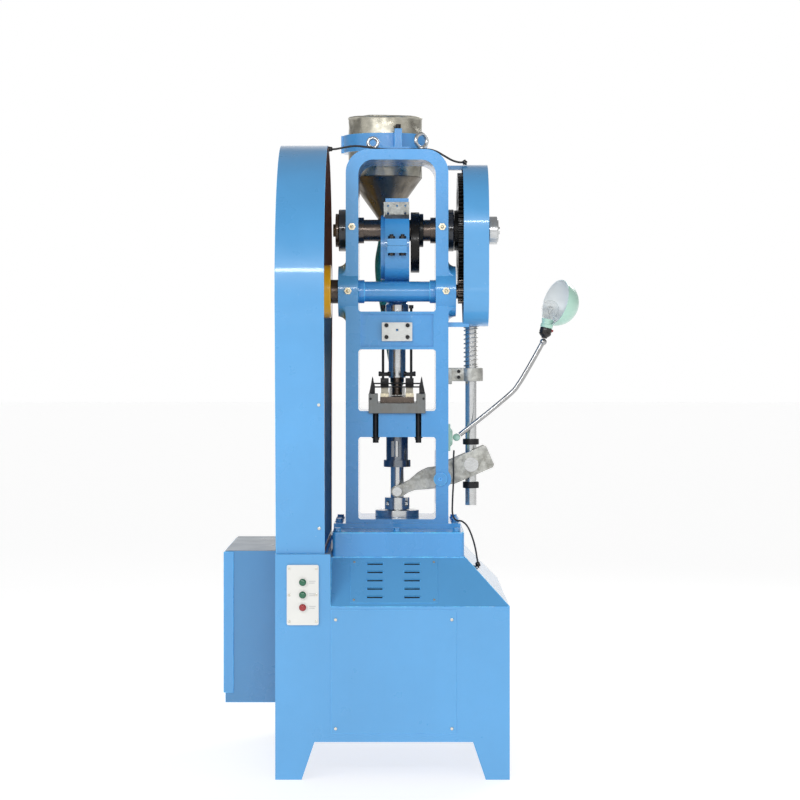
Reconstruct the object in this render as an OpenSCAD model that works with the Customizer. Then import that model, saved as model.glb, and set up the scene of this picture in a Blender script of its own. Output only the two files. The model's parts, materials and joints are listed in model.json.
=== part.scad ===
// Single-punch eccentric tablet press on a sheet-metal cabinet.
// Origin on the floor below the ram axis: X right, Y back, Z up, millimetres.
// The shafts run along X, the ram and the punches along Z.

/* [Cabinet] */
// From the ram axis to the left face of the cabinet
cabinet_left = 397; // [380:1:480]
// From the ram axis to the right face of the cabinet
cabinet_right = 368; // [340:1:460]
// Front to back depth of the cabinet
cabinet_depth = 1040; // [980:5:1300]
// Height of the cabinet's top plate above the floor
cabinet_height = 714; // [640:1:900]
// Thickness of the cabinet's sheet metal
sheet = 4; // [2:0.5:6]
// Height of the leg cut-outs
skirt_height = 123; // [90:1:140]
// Width of the left column that carries the flywheel guard
column_width = 180; // [170:1:190]
// Rise of the left column above the top plate
column_rise = 21; // [10:1:40]
// Vertical drop of the sloping shoulders
shoulder_drop = 150; // [120:1:170]
// Depth of the front and back shoulders
shoulder_run_y = 136; // [100:1:140]
// Width of the right shoulder
shoulder_run_x = 142; // [100:1:145]

/* [Frame] */
// Half of the casting's outer width
frame_half = 175; // [165:1:200]
// Half of the window width between the columns
window_half = 132; // [120:1:140]
// From the crank plane to the front of the casting
frame_front = 160; // [150:1:180]
// From the crank plane to the back of the casting
frame_back = 150; // [140:1:180]
// Height of the pedestal between cabinet and casting
pedestal_height = 83; // [60:1:110]
// Height of the lower window
lower_window = 280; // [270:1:340]
// Height of the beam under the die table
lower_beam = 89; // [80:1:110]
// Height of the window around the punches
middle_window = 210; // [200:1:260]
// Height of the beam that guides the ram
upper_beam = 129; // [115:1:150]
// Height of the window around the crank
upper_window = 518; // [505:1:580]

/* [Drive] */
// Radius of the crankshaft journals
crank_r = 37.5; // [32:0.5:40]
// Eccentricity of the crank, half of the ram stroke
eccentricity = 60; // [50:1:60]
// Radius of the drive shaft
drive_r = 25; // [20:0.5:26]
// Tooth module of the gear pair
gear_module = 5; // [4.8:0.1:5.2]
// Teeth of the crank gear
gear_teeth = 78; // [74:1:80]
// Teeth of the drive pinion
pinion_teeth = 15; // [14:1:17]
// Radius of the flywheel
flywheel_r = 430; // [400:1:460]
// Radius of the motor's belt pulley
motor_pulley_r = 62; // [55:1:75]
// Radial clearance of running fits
running_clearance = 0.05; // [0.03:0.01:0.09]
// Clearance of pieces that only pass each other
free_clearance = 1; // [0.5:0.1:1.5]

/* [Ram and punches] */
// Radius of the ram
ram_r = 30; // [26:0.5:32]
// Radius of both punches
punch_r = 17.95; // [14:0.05:21.95]
// Radius of the lower punch rod
rod_r = 23; // [22:0.5:25]
// Fill depth, the lower punch's travel to the top of the die
fill_depth = 53; // [50:0.5:54]
// Outer radius of the eccentric strap
strap_r = 130; // [126:1:132]
// Radius of the eccentric
eccentric_r = 108; // [106:0.5:110]

/* [Ejector] */
// From the ram axis to the lever's pivot
pivot_x = 147.6; // [146:0.1:152]
// Radius of the lever's pivot pin
pivot_r = 14; // [11:0.5:16]
// From the ram axis to the lift rod
lift_x = 256; // [250:1:262]
// Radius of the lift rod
lift_r = 19.5; // [17:0.5:20]

/* [Hopper] */
// Radius of the hopper
hopper_r = 132; // [110:1:160]
// Wall of the hopper
hopper_wall = 2; // [1.5:0.5:3]
// Outer radius of the feed hose
hose_r = 22; // [18:1:24]

/* [Lamp] */
// Radius of the lamp shade's mouth
shade_r = 81; // [70:1:90]
// Radius of the lamp's conduit
conduit_r = 8.5; // [7:0.5:10]

/* [Controls] */
// Radius of a push button's cap
button_r = 11.4; // [9:0.2:12]
// Travel of a push button
button_travel = 4; // [3:0.5:5]

/* [Hidden] */
$fn = 48;

paint = [0.42, 0.69, 0.91];
paint_dark = [0.33, 0.58, 0.84];
steel = [0.72, 0.73, 0.74];
dark_steel = [0.24, 0.23, 0.23];
black = [0.08, 0.08, 0.09];
white = [0.92, 0.92, 0.9];
brass = [0.8, 0.66, 0.35];
galvanised = [0.66, 0.66, 0.62];
lamp_green = [0.62, 0.82, 0.72];

// Levels, from the floor up
half_depth = cabinet_depth / 2;
column_top = cabinet_height + column_rise;
frame_z = cabinet_height + pedestal_height;
sill = 28;
sill_top = frame_z + sill;
beam_z = sill_top + lower_window;
beam_top = beam_z + lower_beam;
guide_z = beam_top + middle_window;
guide_top = guide_z + upper_beam;
arch_in = guide_top + upper_window;
arch = 36;
frame_top = arch_in + arch;
crank_z = guide_top + 284;
eccentric_z = crank_z - eccentricity;
column_inner = -cabinet_left + column_width;

// Gear pair: the drive shaft lies in front of and below the crank
gear_r = gear_module * gear_teeth / 2;
pinion_r = gear_module * pinion_teeth / 2;
drive_y = -90;
drive_z = crank_z - sqrt(pow(gear_r + pinion_r, 2) - drive_y * drive_y);
mesh_angle = atan2(drive_z - crank_z, drive_y);
gear_x0 = frame_half + 34;
gear_width = 50;

// Belt drive
motor_y = -40;
motor_z = 470;
wheel_x0 = -cabinet_left + 28;
wheel_width = 100;
belt_count = 3;
belt_pitch = 26;
belt_width = 13;
belt_depth = 11;
belt_gap = 1.5;
groove_depth = 15;
belt_mid = wheel_x0 + wheel_width / 2;

// Die table and punches
table_thickness = 27;
die_thickness = 20;
table_top = beam_top + table_thickness;
die_top = table_top + die_thickness;
upper_punch_z = die_top + 5;
ram_z = upper_punch_z + 60;

// Ejector: the lever tilts by 20 degrees about its pivot
pivot_z = sill_top + 137;
fork_drop = 49;
block_rise = 44.5;
fork_angle = atan2(fork_drop, pivot_x);
block_angle = atan2(block_rise, lift_x - pivot_x);
cheek_in = lift_r + 9.5;
cheek = 14;
bracket_z = frame_top - 793;
spring_z = bracket_z + 48;
spring_height = 140;
spring_wire = 2.5;

// Guards
guard_wall = 3;
wheel_guard_r = 500;
wheel_guard_x0 = -cabinet_left + 1;
wheel_guard_x1 = wheel_guard_x0 + 160;
gear_guard_r = gear_r + 32;
drum_r = 120;
gear_guard_x0 = frame_half + 51;
gear_guard_x1 = gear_guard_x0 + 86;

// Hopper
hopper_x = -43;
hopper_y = frame_back + 150;
hopper_top = frame_top + 151;
hopper_cone_top = frame_top - 67;
hopper_outlet = frame_top - 243;
clamp_z = frame_top + 21;

// Lamp: the ball on its base, the conduit's bends from there, and the bowl's mouth direction
lamp_y = -60;
lamp_base_z = beam_z - 50;
lamp_ball = [frame_half + 30, lamp_y, beam_z - 4];
conduit_bends = [
  [11, 0, 9], [95, 0, 74], [188, 0, 152], [215, 0, 185], [238, 0, 222], [269, 0, 276],
  [298, 0, 329]
];
mouth_yaw = 208;
mouth_pitch = 16;
socket_foot = lamp_ball + [299, 0, 329];
bowl_centre = socket_foot + [42, -2, 136];
socket_lean = 12;
knuckle_r = 12;

// Routes of the two leads and the feed hose
hose_route = [
  [-43, 300, 1862], [-47, 300, 1790], [-58, 296, 1720], [-54, 284, 1640], [-40, 262, 1560],
  [-26, 236, 1470], [-14, 206, 1390], [-3, 160, 1325], [0, 136, 1280]
];
lamp_lead = [
  [196, -60, 1056], [194, -68, 1016], [194, -88, 960], [190, -112, 885], [190, -132, 840],
  [202, -148, 821], [222, -164, 818], [243, -184, 796], [263, -204, 740], [276, -216, 664]
];
guard_lead = [
  [-236, -70, 2094], [-212, -70, 2094], [-150, -72, 2104], [-100, -74, 2100], [-40, -75, 2092],
  [40, -75, 2092], [100, -74, 2093], [134, -72, 2086], [164, -66, 2070], [190, -60, 2056],
  [212, -54, 2050], [228, -50, 2049], [240, -50, 2042]
];

// Basic shapes: a box by two corners, and cylinders along X and Y
module block(low, high) {
  translate(low) cube(high - low);
}

module xcyl(r, x0, x1, y = 0, z = 0) {
  translate([x0, y, z]) rotate([0, 90, 0]) cylinder(r = r, h = x1 - x0);
}

module ycyl(r, y0, y1, x = 0, z = 0) {
  translate([x, y0, z]) rotate([-90, 0, 0]) cylinder(r = r, h = y1 - y0);
}

module zcyl(r, z0, z1, x = 0, y = 0) {
  translate([x, y, z0]) cylinder(r = r, h = z1 - z0);
}

// Outline in Y and Z, extruded along X, and outline in X and Z, extruded along Y
module along_x(x0, x1) {
  translate([x0, 0, 0]) rotate([90, 0, 90]) linear_extrude(x1 - x0) children();
}

module along_y(y0, y1) {
  translate([0, y1, 0]) rotate([90, 0, 0]) linear_extrude(y1 - y0) children();
}

module rounded(x0, z0, x1, z1, r) {
  translate([x0 + r, z0]) square([x1 - x0 - 2 * r, z1 - z0]);
  translate([x0, z0 + r]) square([x1 - x0, z1 - z0 - 2 * r]);
  for (x = [x0 + r, x1 - r], z = [z0 + r, z1 - r]) translate([x, z]) circle(r);
}

module slot_2d(r, length) {
  translate([0, -r]) square([length, 2 * r]);
  circle(r);
  translate([length, 0]) circle(r);
}

// A hexagon head with a round neck, standing along +Z
module hex_head(r, h) {
  cylinder(r = r, h = h, $fn = 6);
}

// A socket cap screw's head with its hexagon socket, standing along +Z
module socket_head(r, h) {
  difference() {
    cylinder(r = r, h = h);
    translate([0, 0, h * 0.45]) cylinder(r = r * 0.55, h = h, $fn = 6);
  }
}

// A round tube swept along points, with a ring at each point
function unit(v) = v / norm(v);
function tangent(p, i) = unit(p[min(i + 1, len(p) - 1)] - p[max(i - 1, 0)]);
function side(p, i, up) = unit(cross(tangent(p, i), up));
function ring(p, i, r, n, up) = [
  for (j = [0 : n - 1])
    p[i] + r * (cos(360 * j / n) * side(p, i, up)
      + sin(360 * j / n) * cross(tangent(p, i), side(p, i, up)))
];

module tube_along(p, r, n, up) {
  last = len(p) - 1;
  polyhedron(
    points = [for (i = [0 : last]) each ring(p, i, r, n, up)],
    faces = concat(
      [[for (j = [0 : n - 1]) j]],
      [for (i = [0 : last - 1], j = [0 : n - 1])
        [i * n + j, (i + 1) * n + j, (i + 1) * n + (j + 1) % n, i * n + (j + 1) % n]],
      [[for (j = [n - 1 : -1 : 0]) last * n + j]]
    )
  );
}

// Points of a smooth curve through a route, with steps points between two route points
function spline_at(p, i, t) =
  let (a = p[max(i - 1, 0)], b = p[i], c = p[i + 1], d = p[min(i + 2, len(p) - 1)])
  0.5 * (2 * b + (c - a) * t + (2 * a - 5 * b + 4 * c - d) * t * t
    + (3 * b - a - 3 * c + d) * t * t * t);
function smooth(p, steps) = concat(
  [for (i = [0 : len(p) - 2], k = [0 : steps - 1]) spline_at(p, i, k / steps)],
  [p[len(p) - 1]]
);

// Involute gear outline with a tooth centred on the given angle
function involute(a) = tan(a) - a * PI / 180;
function half_tooth(r, pitch_r, teeth) =
  90 / teeth - 0.12 + (involute(20) - involute(acos(min(1, pitch_r * cos(20) / r)))) * 180 / PI;
module gear_outline(teeth, m, start) {
  pitch_r = m * teeth / 2;
  radii = [pitch_r - 1.2 * m, pitch_r - 0.4 * m, pitch_r + 0.2 * m, pitch_r + 0.8 * m];
  flank = [for (r = radii) [r, half_tooth(max(r, pitch_r * cos(20)), pitch_r, teeth)]];
  polygon([
    for (k = [0 : teeth - 1])
      each concat(
        [for (f = flank) f[0] * [cos(start + k * 360 / teeth - f[1]),
          sin(start + k * 360 / teeth - f[1])]],
        [for (i = [3 : -1 : 0]) flank[i][0] * [cos(start + k * 360 / teeth + flank[i][1]),
          sin(start + k * 360 / teeth + flank[i][1])]]
      )
  ]);
}

// Cabinet body: the sloped block and the left column, drawn smaller by an inset
module cabinet_side_outline(inset) {
  lean = inset * 0.42;
  polygon([
    [-half_depth + inset, -1], [-half_depth + inset, cabinet_height - shoulder_drop - lean],
    [-half_depth + shoulder_run_y + lean, cabinet_height - inset],
    [half_depth - shoulder_run_y - lean, cabinet_height - inset],
    [half_depth - inset, cabinet_height - shoulder_drop - lean], [half_depth - inset, -1]
  ]);
}

module cabinet_front_outline(inset) {
  lean = inset * 0.42;
  polygon([
    [-cabinet_left + inset, -1], [-cabinet_left + inset, cabinet_height - inset],
    [cabinet_right - shoulder_run_x - lean, cabinet_height - inset],
    [cabinet_right - inset, cabinet_height - shoulder_drop - lean], [cabinet_right - inset, -1]
  ]);
}

module cabinet_solid(inset) {
  intersection() {
    along_x(-cabinet_left - 1, cabinet_right + 1) cabinet_side_outline(inset);
    along_y(-half_depth - 1, half_depth + 1) cabinet_front_outline(inset);
  }
  block([-cabinet_left + inset, -half_depth + inset, -1],
    [column_inner - inset, half_depth - inset, column_top - inset]);
}

leg_width = 86;
leg_taper = 42;
access_x0 = -215;
access_x1 = 194;
access_z0 = skirt_height + 28;
access_z1 = cabinet_height - 160;
anchor_x0 = -350;
anchor_x1 = 334;
anchor_y = half_depth - 42;
anchor_r = 9;
belt_slot = 12;

module leg_gap(x0, x1) {
  polygon([
    [x0 + leg_width, -1], [x0 + leg_width + leg_taper, skirt_height],
    [x1 - leg_width - leg_taper + 8, skirt_height], [x1 - leg_width + 8, -1]
  ]);
}

module base_cabinet() {
  color(paint) difference() {
    union() {
      difference() {
        cabinet_solid(0);
        cabinet_solid(sheet);
      }
      for (x = [-cabinet_left + 1, cabinet_right - 72], y = [-half_depth + 1, half_depth - 81])
        block([x, y, 0], [x + 71, y + 80, 8]);
    }
    translate([-500, -600, -10]) cube([1000, 1200, 10]);
    along_y(-half_depth - 5, half_depth + 5) leg_gap(-cabinet_left, cabinet_right);
    along_x(-cabinet_left - 5, cabinet_right + 5) leg_gap(-half_depth, half_depth);
    block([access_x0 + 20, -half_depth - 5, access_z0 + 20],
      [access_x1 - 20, -half_depth + 20, access_z1 - 20]);
    block([wheel_guard_x0 + belt_slot, -half_depth + 50, column_top - 20],
      [column_inner - belt_slot, half_depth - 200, column_top + 5]);
    xcyl(40, -cabinet_left - 5, -cabinet_left + 20, motor_y, motor_z);
    for (x = [anchor_x0, anchor_x1], y = [-anchor_y, anchor_y]) zcyl(anchor_r, -5, 30, x, y);
  }
}

// Frame of reference of the front shoulder: X right, Y up the slope, Z out of the sheet
module on_front_shoulder() {
  translate([0, -half_depth, cabinet_height - shoulder_drop])
    rotate([atan2(shoulder_drop, shoulder_run_y), 0, 0]) children();
}

panel_sheet = 2;
shoulder_length = norm([shoulder_drop, shoulder_run_y]);
louvre_x0 = -153;
louvre_x1 = 134;
louvre_v0 = 14;
louvre_v1 = shoulder_length - 10;
louvre_rows = 5;
louvre_row_pitch = 34;

module base_panels() {
  color(paint) {
    block([access_x0, -half_depth - panel_sheet, access_z0], [access_x1, -half_depth, access_z1]);
    on_front_shoulder() difference() {
      union() {
        block([louvre_x0, louvre_v0, 0], [louvre_x1, louvre_v1, panel_sheet]);
        for (x = [-100, 22], k = [0 : louvre_rows - 1])
          translate([x, louvre_v0 + 22 + k * louvre_row_pitch, panel_sheet])
            rotate([90, 0, 90]) linear_extrude(55) polygon([[0, 0], [0, 6], [9, 0]]);
      }
      for (x = [-98, 24], k = [0 : louvre_rows - 1])
        translate([x, louvre_v0 + 20 + k * louvre_row_pitch, -1]) cube([51, 5, panel_sheet + 5]);
    }
  }
}

module panel_screws() {
  color(white) {
    for (x = [access_x0 + 15, access_x1 - 15], z = [access_z0 + 16, access_z1 - 32])
      ycyl(5, -half_depth - panel_sheet - 3, -half_depth - panel_sheet, x, z);
    on_front_shoulder()
      for (x = [louvre_x0 + 12, louvre_x1 - 12], v = [louvre_v0 + 12, louvre_v1 - 12])
        zcyl(4, panel_sheet, panel_sheet + 2.5, x, v);
    for (x = [control_x0 + 8, control_x1 - 8], z = [control_z0 + 12, control_mid, control_z1 - 12])
      ycyl(4, control_front - 2.5, control_front, x, z);
    for (z = [column_top + 84, drive_z - 380])
      ycyl(5, -guard_front_at(z) - 3.45, -guard_front_at(z) - 0.45, wheel_guard_x1 - 18, z);
  }
}

control_x0 = -359;
control_x1 = -255;
control_z1 = cabinet_height - 13;
control_z0 = control_z1 - 196;
control_mid = (control_z0 + control_z1) / 2;
control_front = -half_depth - 8;
button_x = (control_x0 + control_x1) / 2;
button_pitch = 41;
bezel_r = button_r + 3;
button_z = control_mid + 1;

module control_panel() {
  color(white) difference() {
    union() {
      along_y(control_front, -half_depth)
        rounded(control_x0, control_z0, control_x1, control_z1, 6);
      for (k = [-1 : 1])
        ycyl(bezel_r, control_front - 7, control_front, button_x, button_z + k * button_pitch);
    }
    for (k = [-1 : 1])
      ycyl(button_r + 0.4, control_front - 10, -half_depth + 10, button_x,
        button_z + k * button_pitch);
  }
}

module push_button(k) {
  ycyl(button_r, control_front - 8 - button_travel, control_front + 2,
    button_x, button_z + k * button_pitch);
}

module start_button() {
  color([0.1, 0.6, 0.3]) push_button(1);
}

module jog_button() {
  color([0.1, 0.6, 0.3]) push_button(0);
}

module stop_button() {
  color([0.8, 0.1, 0.1]) push_button(-1);
}

// Motor housing on the left of the cabinet
housing_width = 178;
housing_y0 = -300;
housing_y1 = 340;
housing_z0 = 221;
housing_z1 = 730;
housing_x0 = -cabinet_left - housing_width;

module motor_cover() {
  color(paint) difference() {
    block([housing_x0, housing_y0, housing_z0], [-cabinet_left, housing_y1, housing_z1]);
    block([housing_x0 + guard_wall, housing_y0 + guard_wall, housing_z0 + guard_wall],
      [-cabinet_left + 5, housing_y1 - guard_wall, housing_z1 - guard_wall]);
    block([housing_x0 - 5, housing_y0 + 40, housing_z0 + 50],
      [housing_x0 + 10, housing_y1 - 40, housing_z1 - 40]);
  }
}

module motor_door() {
  color(paint) {
    block([housing_x0 - 6, housing_y0 - 2, housing_z0 + 33],
      [housing_x0, housing_y1 + 2, housing_z1 - 4]);
    block([housing_x0 - 6, housing_y0 - 4, housing_z0 + 33],
      [housing_x0 + 28, housing_y0, housing_z1 - 4]);
  }
}

motor_r = 78;
motor_x0 = housing_x0 + 14;
motor_x1 = -cabinet_left - 8;
motor_shaft_r = 14;

module motor() {
  color(dark_steel) difference() {
    union() {
      xcyl(motor_r, motor_x0, motor_x1 - 20, motor_y, motor_z);
      for (k = [0 : 17])
        translate([motor_x0 + 24, motor_y, motor_z]) rotate([k * 20, 0, 0])
          block([0, -2, motor_r - 2], [motor_x1 - motor_x0 - 64, 2, motor_r + 9]);
      xcyl(60, motor_x1 - 20, motor_x1, motor_y, motor_z);
      block([motor_x0 + 30, motor_y - 80, motor_z - 100],
        [motor_x1 - 40, motor_y + 80, motor_z - 84]);
      block([motor_x0 + 40, motor_y - 60, motor_z - 90],
        [motor_x1 - 50, motor_y + 60, motor_z - 60]);
      block([motor_x0 + 20, motor_y - 90, motor_z - 244],
        [motor_x1 - 30, motor_y + 90, motor_z - 100]);
    }
    xcyl(motor_shaft_r + running_clearance, motor_x1 - 60, motor_x1 + 5, motor_y, motor_z);
  }
}

module motor_pulley() {
  color(dark_steel) translate([0, motor_y, motor_z]) {
    xcyl(motor_shaft_r, motor_x1 - 55, wheel_x0 + 5);
    difference() {
      xcyl(motor_pulley_r, wheel_x0, wheel_x0 + wheel_width);
      belt_grooves(motor_pulley_r);
    }
  }
}

module belt_grooves(r) {
  for (k = [0 : belt_count - 1])
    translate([belt_mid + (k - (belt_count - 1) / 2) * belt_pitch, 0, 0])
      rotate([0, 90, 0]) difference() {
        translate([0, 0, -belt_width / 2 - free_clearance])
          cylinder(r = r + 5, h = belt_width + 2 * free_clearance);
        translate([0, 0, -belt_width]) cylinder(r = r - groove_depth, h = 2 * belt_width);
      }
}

// One belt: two arcs and two straight runs, lying in the pulleys' grooves
belt_r1 = flywheel_r - groove_depth + belt_gap;
belt_r2 = motor_pulley_r - groove_depth + belt_gap;
belt_span = norm([motor_y - drive_y, motor_z - drive_z]);
belt_heading = atan2(motor_z - drive_z, motor_y - drive_y);
belt_open = acos((belt_r1 - belt_r2) / belt_span);

function arc_points(y, z, r, start, sweep, n) = [
  for (k = [0 : n]) [y + r * cos(start + sweep * k / n), z + r * sin(start + sweep * k / n)]
];

module belt_loop(grow) {
  polygon(concat(
    arc_points(drive_y, drive_z, belt_r1 + grow, belt_heading + belt_open,
      360 - 2 * belt_open, 72),
    arc_points(motor_y, motor_z, belt_r2 + grow, belt_heading - belt_open, 2 * belt_open, 24)
  ));
}

module drive_belts() {
  color(black) for (k = [0 : belt_count - 1])
    translate([(k - (belt_count - 1) / 2) * belt_pitch, 0, 0])
      along_x(belt_mid - belt_width / 2, belt_mid + belt_width / 2) difference() {
        belt_loop(belt_depth);
        belt_loop(0);
      }
}

// Pedestal between the cabinet and the casting
pedestal_half = 223;
pedestal_front = half_depth - shoulder_run_y;

module pedestal() {
  color(paint) difference() {
    translate([0, 0, cabinet_height]) linear_extrude(pedestal_height)
      rounded(-pedestal_half + 8, -pedestal_front, pedestal_half, pedestal_front, 12);
    block([-pedestal_half + 30, -pedestal_front + 20, cabinet_height - 5],
      [pedestal_half - 22, pedestal_front - 20, frame_z - 22]);
    zcyl(60, frame_z - 30, frame_z + 5);
  }
}

// Painted bolts: a front row that holds the pedestal, and two pairs through the casting's foot
foot_half = 215;
foot_height = 16;
foot_lip = 34;
bolt_r = 11.5;
bolt_height = 9;
washer_r = 14;
washer = 3;

module foot_bolt(x, y, z) {
  zcyl(washer_r, z, z + washer, x, y);
  translate([x, y, z + washer]) hex_head(bolt_r, bolt_height);
}

module hex_bolts() {
  color(paint_dark) {
    for (x = [-198, 0, 198]) foot_bolt(x, -340, frame_z);
    for (x = [-198, 198], y = [-100, 100]) foot_bolt(x, y, frame_z + foot_height);
  }
}

table_bolt_x = 73;
table_bolt_y = 138;
boss_r = 87;
boss_width = 26;
bush_r = 45;
drive_bush_r = 33;
sleeve_r = 38;
lever_slot_low = pivot_z - 92;
lever_slot_high = pivot_z + 92;
lever_slot_half = 52;
hold_rod_x = 48.5;
hold_rod_y = -58;
hold_rod_r = 4.5;

window_corner = 10;
arch_corner = 50;
pivot_boss_r = 37;
panel_lip = 8;
panel_depth = 8;

// Main casting: two columns, arch, two beams and the shaft bosses
module frame_outline() {
  difference() {
    union() {
      rounded(-frame_half, frame_top - 200, frame_half, frame_top, 80);
      translate([-frame_half, frame_z]) square([2 * frame_half, frame_top - 100 - frame_z]);
    }
    rounded(-window_half, sill_top, window_half, beam_z, window_corner);
    rounded(-window_half, beam_top, window_half, guide_z, window_corner);
    rounded(-window_half, guide_top, window_half, arch_in, arch_corner);
    rounded(-window_half, guide_top, window_half, guide_top + 2 * arch_corner, window_corner);
  }
}

module main_frame() {
  color(paint_dark) difference() {
    union() {
      along_y(-frame_front, frame_back) frame_outline();
      for (s = [-1, 1])
        scale([s, 1, 1]) xcyl(boss_r, window_half, frame_half + boss_width, drive_y, drive_z);
      intersection() {
        ycyl(pivot_boss_r, -frame_front, frame_back, pivot_x, pivot_z);
        block([pivot_x, -frame_front, pivot_z - pivot_boss_r],
          [pivot_x + pivot_boss_r, frame_back, pivot_z + pivot_boss_r]);
      }
      block([-foot_half, -frame_front - foot_lip, frame_z],
        [foot_half, frame_back + foot_lip, frame_z + foot_height]);
    }
    block([-window_half + panel_lip, -frame_front - 5, guide_z + panel_lip],
      [window_half - panel_lip, -frame_front + panel_depth, guide_top - panel_lip]);
    xcyl(bush_r, -frame_half - 40, frame_half + 40, 0, crank_z);
    xcyl(drive_bush_r, -frame_half - 40, frame_half + 40, drive_y, drive_z);
    xcyl(tube_collar_r, -window_half, window_half, drive_y, drive_z);
    zcyl(ram_r + running_clearance, guide_z - 5, guide_top + 5);
    zcyl(sleeve_r, beam_z - 5, beam_top + 5);
    zcyl(rod_r + free_clearance, frame_z - 5, sill_top + 5);
    for (x = [-hold_rod_x, hold_rod_x])
      zcyl(hold_rod_r + 0.5, guide_z - 5, guide_top + 5, x, hold_rod_y);
    for (x = [-table_bolt_x, table_bolt_x], y = [-1, 1])
      block([x - 10, y > 0 ? frame_back - 34 : -frame_front - 5, beam_z - 5],
        [x + 10, y > 0 ? frame_back + 5 : -frame_front + 34, beam_top + 5]);
    block([window_half - 5, -lever_slot_half, lever_slot_low],
      [frame_half + 20, lever_slot_half, lever_slot_high]);
    ycyl(pivot_r, -frame_front - 20, frame_back + 5, pivot_x, pivot_z);
  }
}

tube_r = 35;
tube_collar_r = 40;
tube_collar = 20;

module shaft_tube() {
  color(paint_dark) translate([0, drive_y, drive_z]) difference() {
    union() {
      xcyl(tube_r, -window_half, window_half);
      xcyl(tube_collar_r, -window_half, -window_half + tube_collar);
      xcyl(tube_collar_r, window_half - tube_collar, window_half);
    }
    xcyl(drive_r + free_clearance, -window_half - 5, window_half + 5);
  }
}

module bearing_bushes() {
  color(brass) for (s = [-1, 1]) scale([s, 1, 1]) {
    translate([0, 0, crank_z]) difference() {
      xcyl(bush_r, window_half - 17, frame_half);
      xcyl(crank_r + running_clearance, window_half - 20, frame_half + 5);
    }
    translate([0, drive_y, drive_z]) difference() {
      xcyl(drive_bush_r, window_half, frame_half + boss_width);
      xcyl(drive_r + running_clearance, window_half - 5, frame_half + boss_width + 5);
    }
  }
}

cap_r = 73;
left_cap = 27;
right_cap = 21;

module bearing_caps() {
  color(paint_dark) translate([0, 0, crank_z]) {
    difference() {
      xcyl(cap_r, -frame_half - left_cap, -frame_half);
      xcyl(crank_r + free_clearance, -frame_half - left_cap - 5, -frame_half + 5);
    }
    difference() {
      xcyl(cap_r, frame_half, frame_half + right_cap);
      xcyl(crank_r + free_clearance, frame_half - 5, frame_half + right_cap + 5);
    }
  }
}

module nipple() {
  cylinder(r = 13, h = 5, $fn = 6);
  cylinder(r = 5, h = 10);
  translate([0, 0, 12]) sphere(6);
}

module grease_nipples() {
  color(brass) {
    for (s = [-1, 1]) {
      translate([s * (window_half + 22), -frame_front, crank_z + 5]) rotate([90, 0, 0]) nipple();
      translate([s * (frame_half - 8), drive_y - boss_r, drive_z]) rotate([90, 0, 0]) nipple();
    }
  }
}

// Eyebolt: place, ring radius, wire radius and turn
eyebolt_x = 84;

module eyebolt(x, eye_r, wire_r, turn) {
  translate([x, 0, frame_top]) {
    zcyl(wire_r * 2.6, 0, 8);
    zcyl(wire_r * 1.5, 8, 20);
    translate([0, 0, eye_r + wire_r + 11]) rotate([90, 0, turn]) rotate_extrude()
      translate([eye_r, 0]) circle(wire_r);
  }
}

module eyebolts() {
  color(steel) {
    eyebolt(-eyebolt_x, 17, 6, 0);
    eyebolt(eyebolt_x, 24, 6.5, 38);
  }
}

// Hopper: a cylinder over a cone and a short outlet, open through its length
module hopper_profile(w) {
  polygon([
    [0, hopper_outlet - 5 * w], [hose_r + 5 - w * hopper_wall, hopper_outlet - 5 * w],
    [hose_r + 5 - w * hopper_wall, hopper_outlet + 30],
    [hopper_r - w * hopper_wall, hopper_cone_top], [hopper_r - w * hopper_wall, hopper_top + 5 * w],
    [0, hopper_top + 5 * w]
  ]);
}

module hopper() {
  color(galvanised) translate([hopper_x, hopper_y, 0]) difference() {
    union() {
      rotate_extrude($fn = 96) hopper_profile(0);
      translate([0, 0, hopper_top - 3]) rotate_extrude($fn = 96)
        translate([hopper_r - 1, 0]) circle(3);
    }
    rotate_extrude($fn = 96) hopper_profile(1);
  }
}

clamp_r = hopper_r + 20;
clamp_height = 62;

module hopper_clamp() {
  color(paint_dark) {
    difference() {
      union() {
        zcyl(clamp_r, clamp_z, clamp_z + clamp_height, hopper_x, hopper_y);
        block([hopper_x + 34, hopper_y - clamp_r - 14, clamp_z - 4],
          [hopper_x + 60, hopper_y - clamp_r + 30, clamp_z + clamp_height + 14]);
        block([hopper_x - clamp_r - 6, hopper_y - 20, clamp_z],
          [hopper_x - clamp_r + 20, hopper_y + 20, clamp_z + clamp_height]);
        block([hopper_x - 50, frame_back - 60, frame_top],
          [hopper_x + 90, hopper_y - hopper_r - 4, clamp_z + 8]);
      }
      zcyl(hopper_r + 0.2, frame_top - 5, clamp_z + clamp_height + 20, hopper_x, hopper_y);
    }
  }
}

module feed_hose() {
  color([0.15, 0.6, 0.6]) tube_along(smooth(hose_route, 3), hose_r, 12, [1, 0, 0]);
}

// Flywheel guard: a round top with tapering sides, closed at the left and open at the right
guard_rim = 10;
guard_foot_front = 506;
guard_foot_back = 330;
guard_front_angle = 176;
guard_back_angle = -8;
function guard_point(r, a) = [drive_y + r * cos(a), drive_z + r * sin(a)];
function guard_front_at(z) =
  guard_foot_front + (-guard_point(wheel_guard_r, guard_front_angle)[0] - guard_foot_front)
    * (z - column_top) / (guard_point(wheel_guard_r, guard_front_angle)[1] - column_top);

module guard_outline(inset) {
  translate([drive_y, drive_z]) circle(wheel_guard_r - inset, $fn = 96);
  polygon([
    guard_point(wheel_guard_r - inset, guard_front_angle),
    [-guard_foot_front + inset, column_top - inset],
    [guard_foot_back - inset, column_top - inset],
    guard_point(wheel_guard_r - inset, guard_back_angle)
  ]);
}

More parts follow.
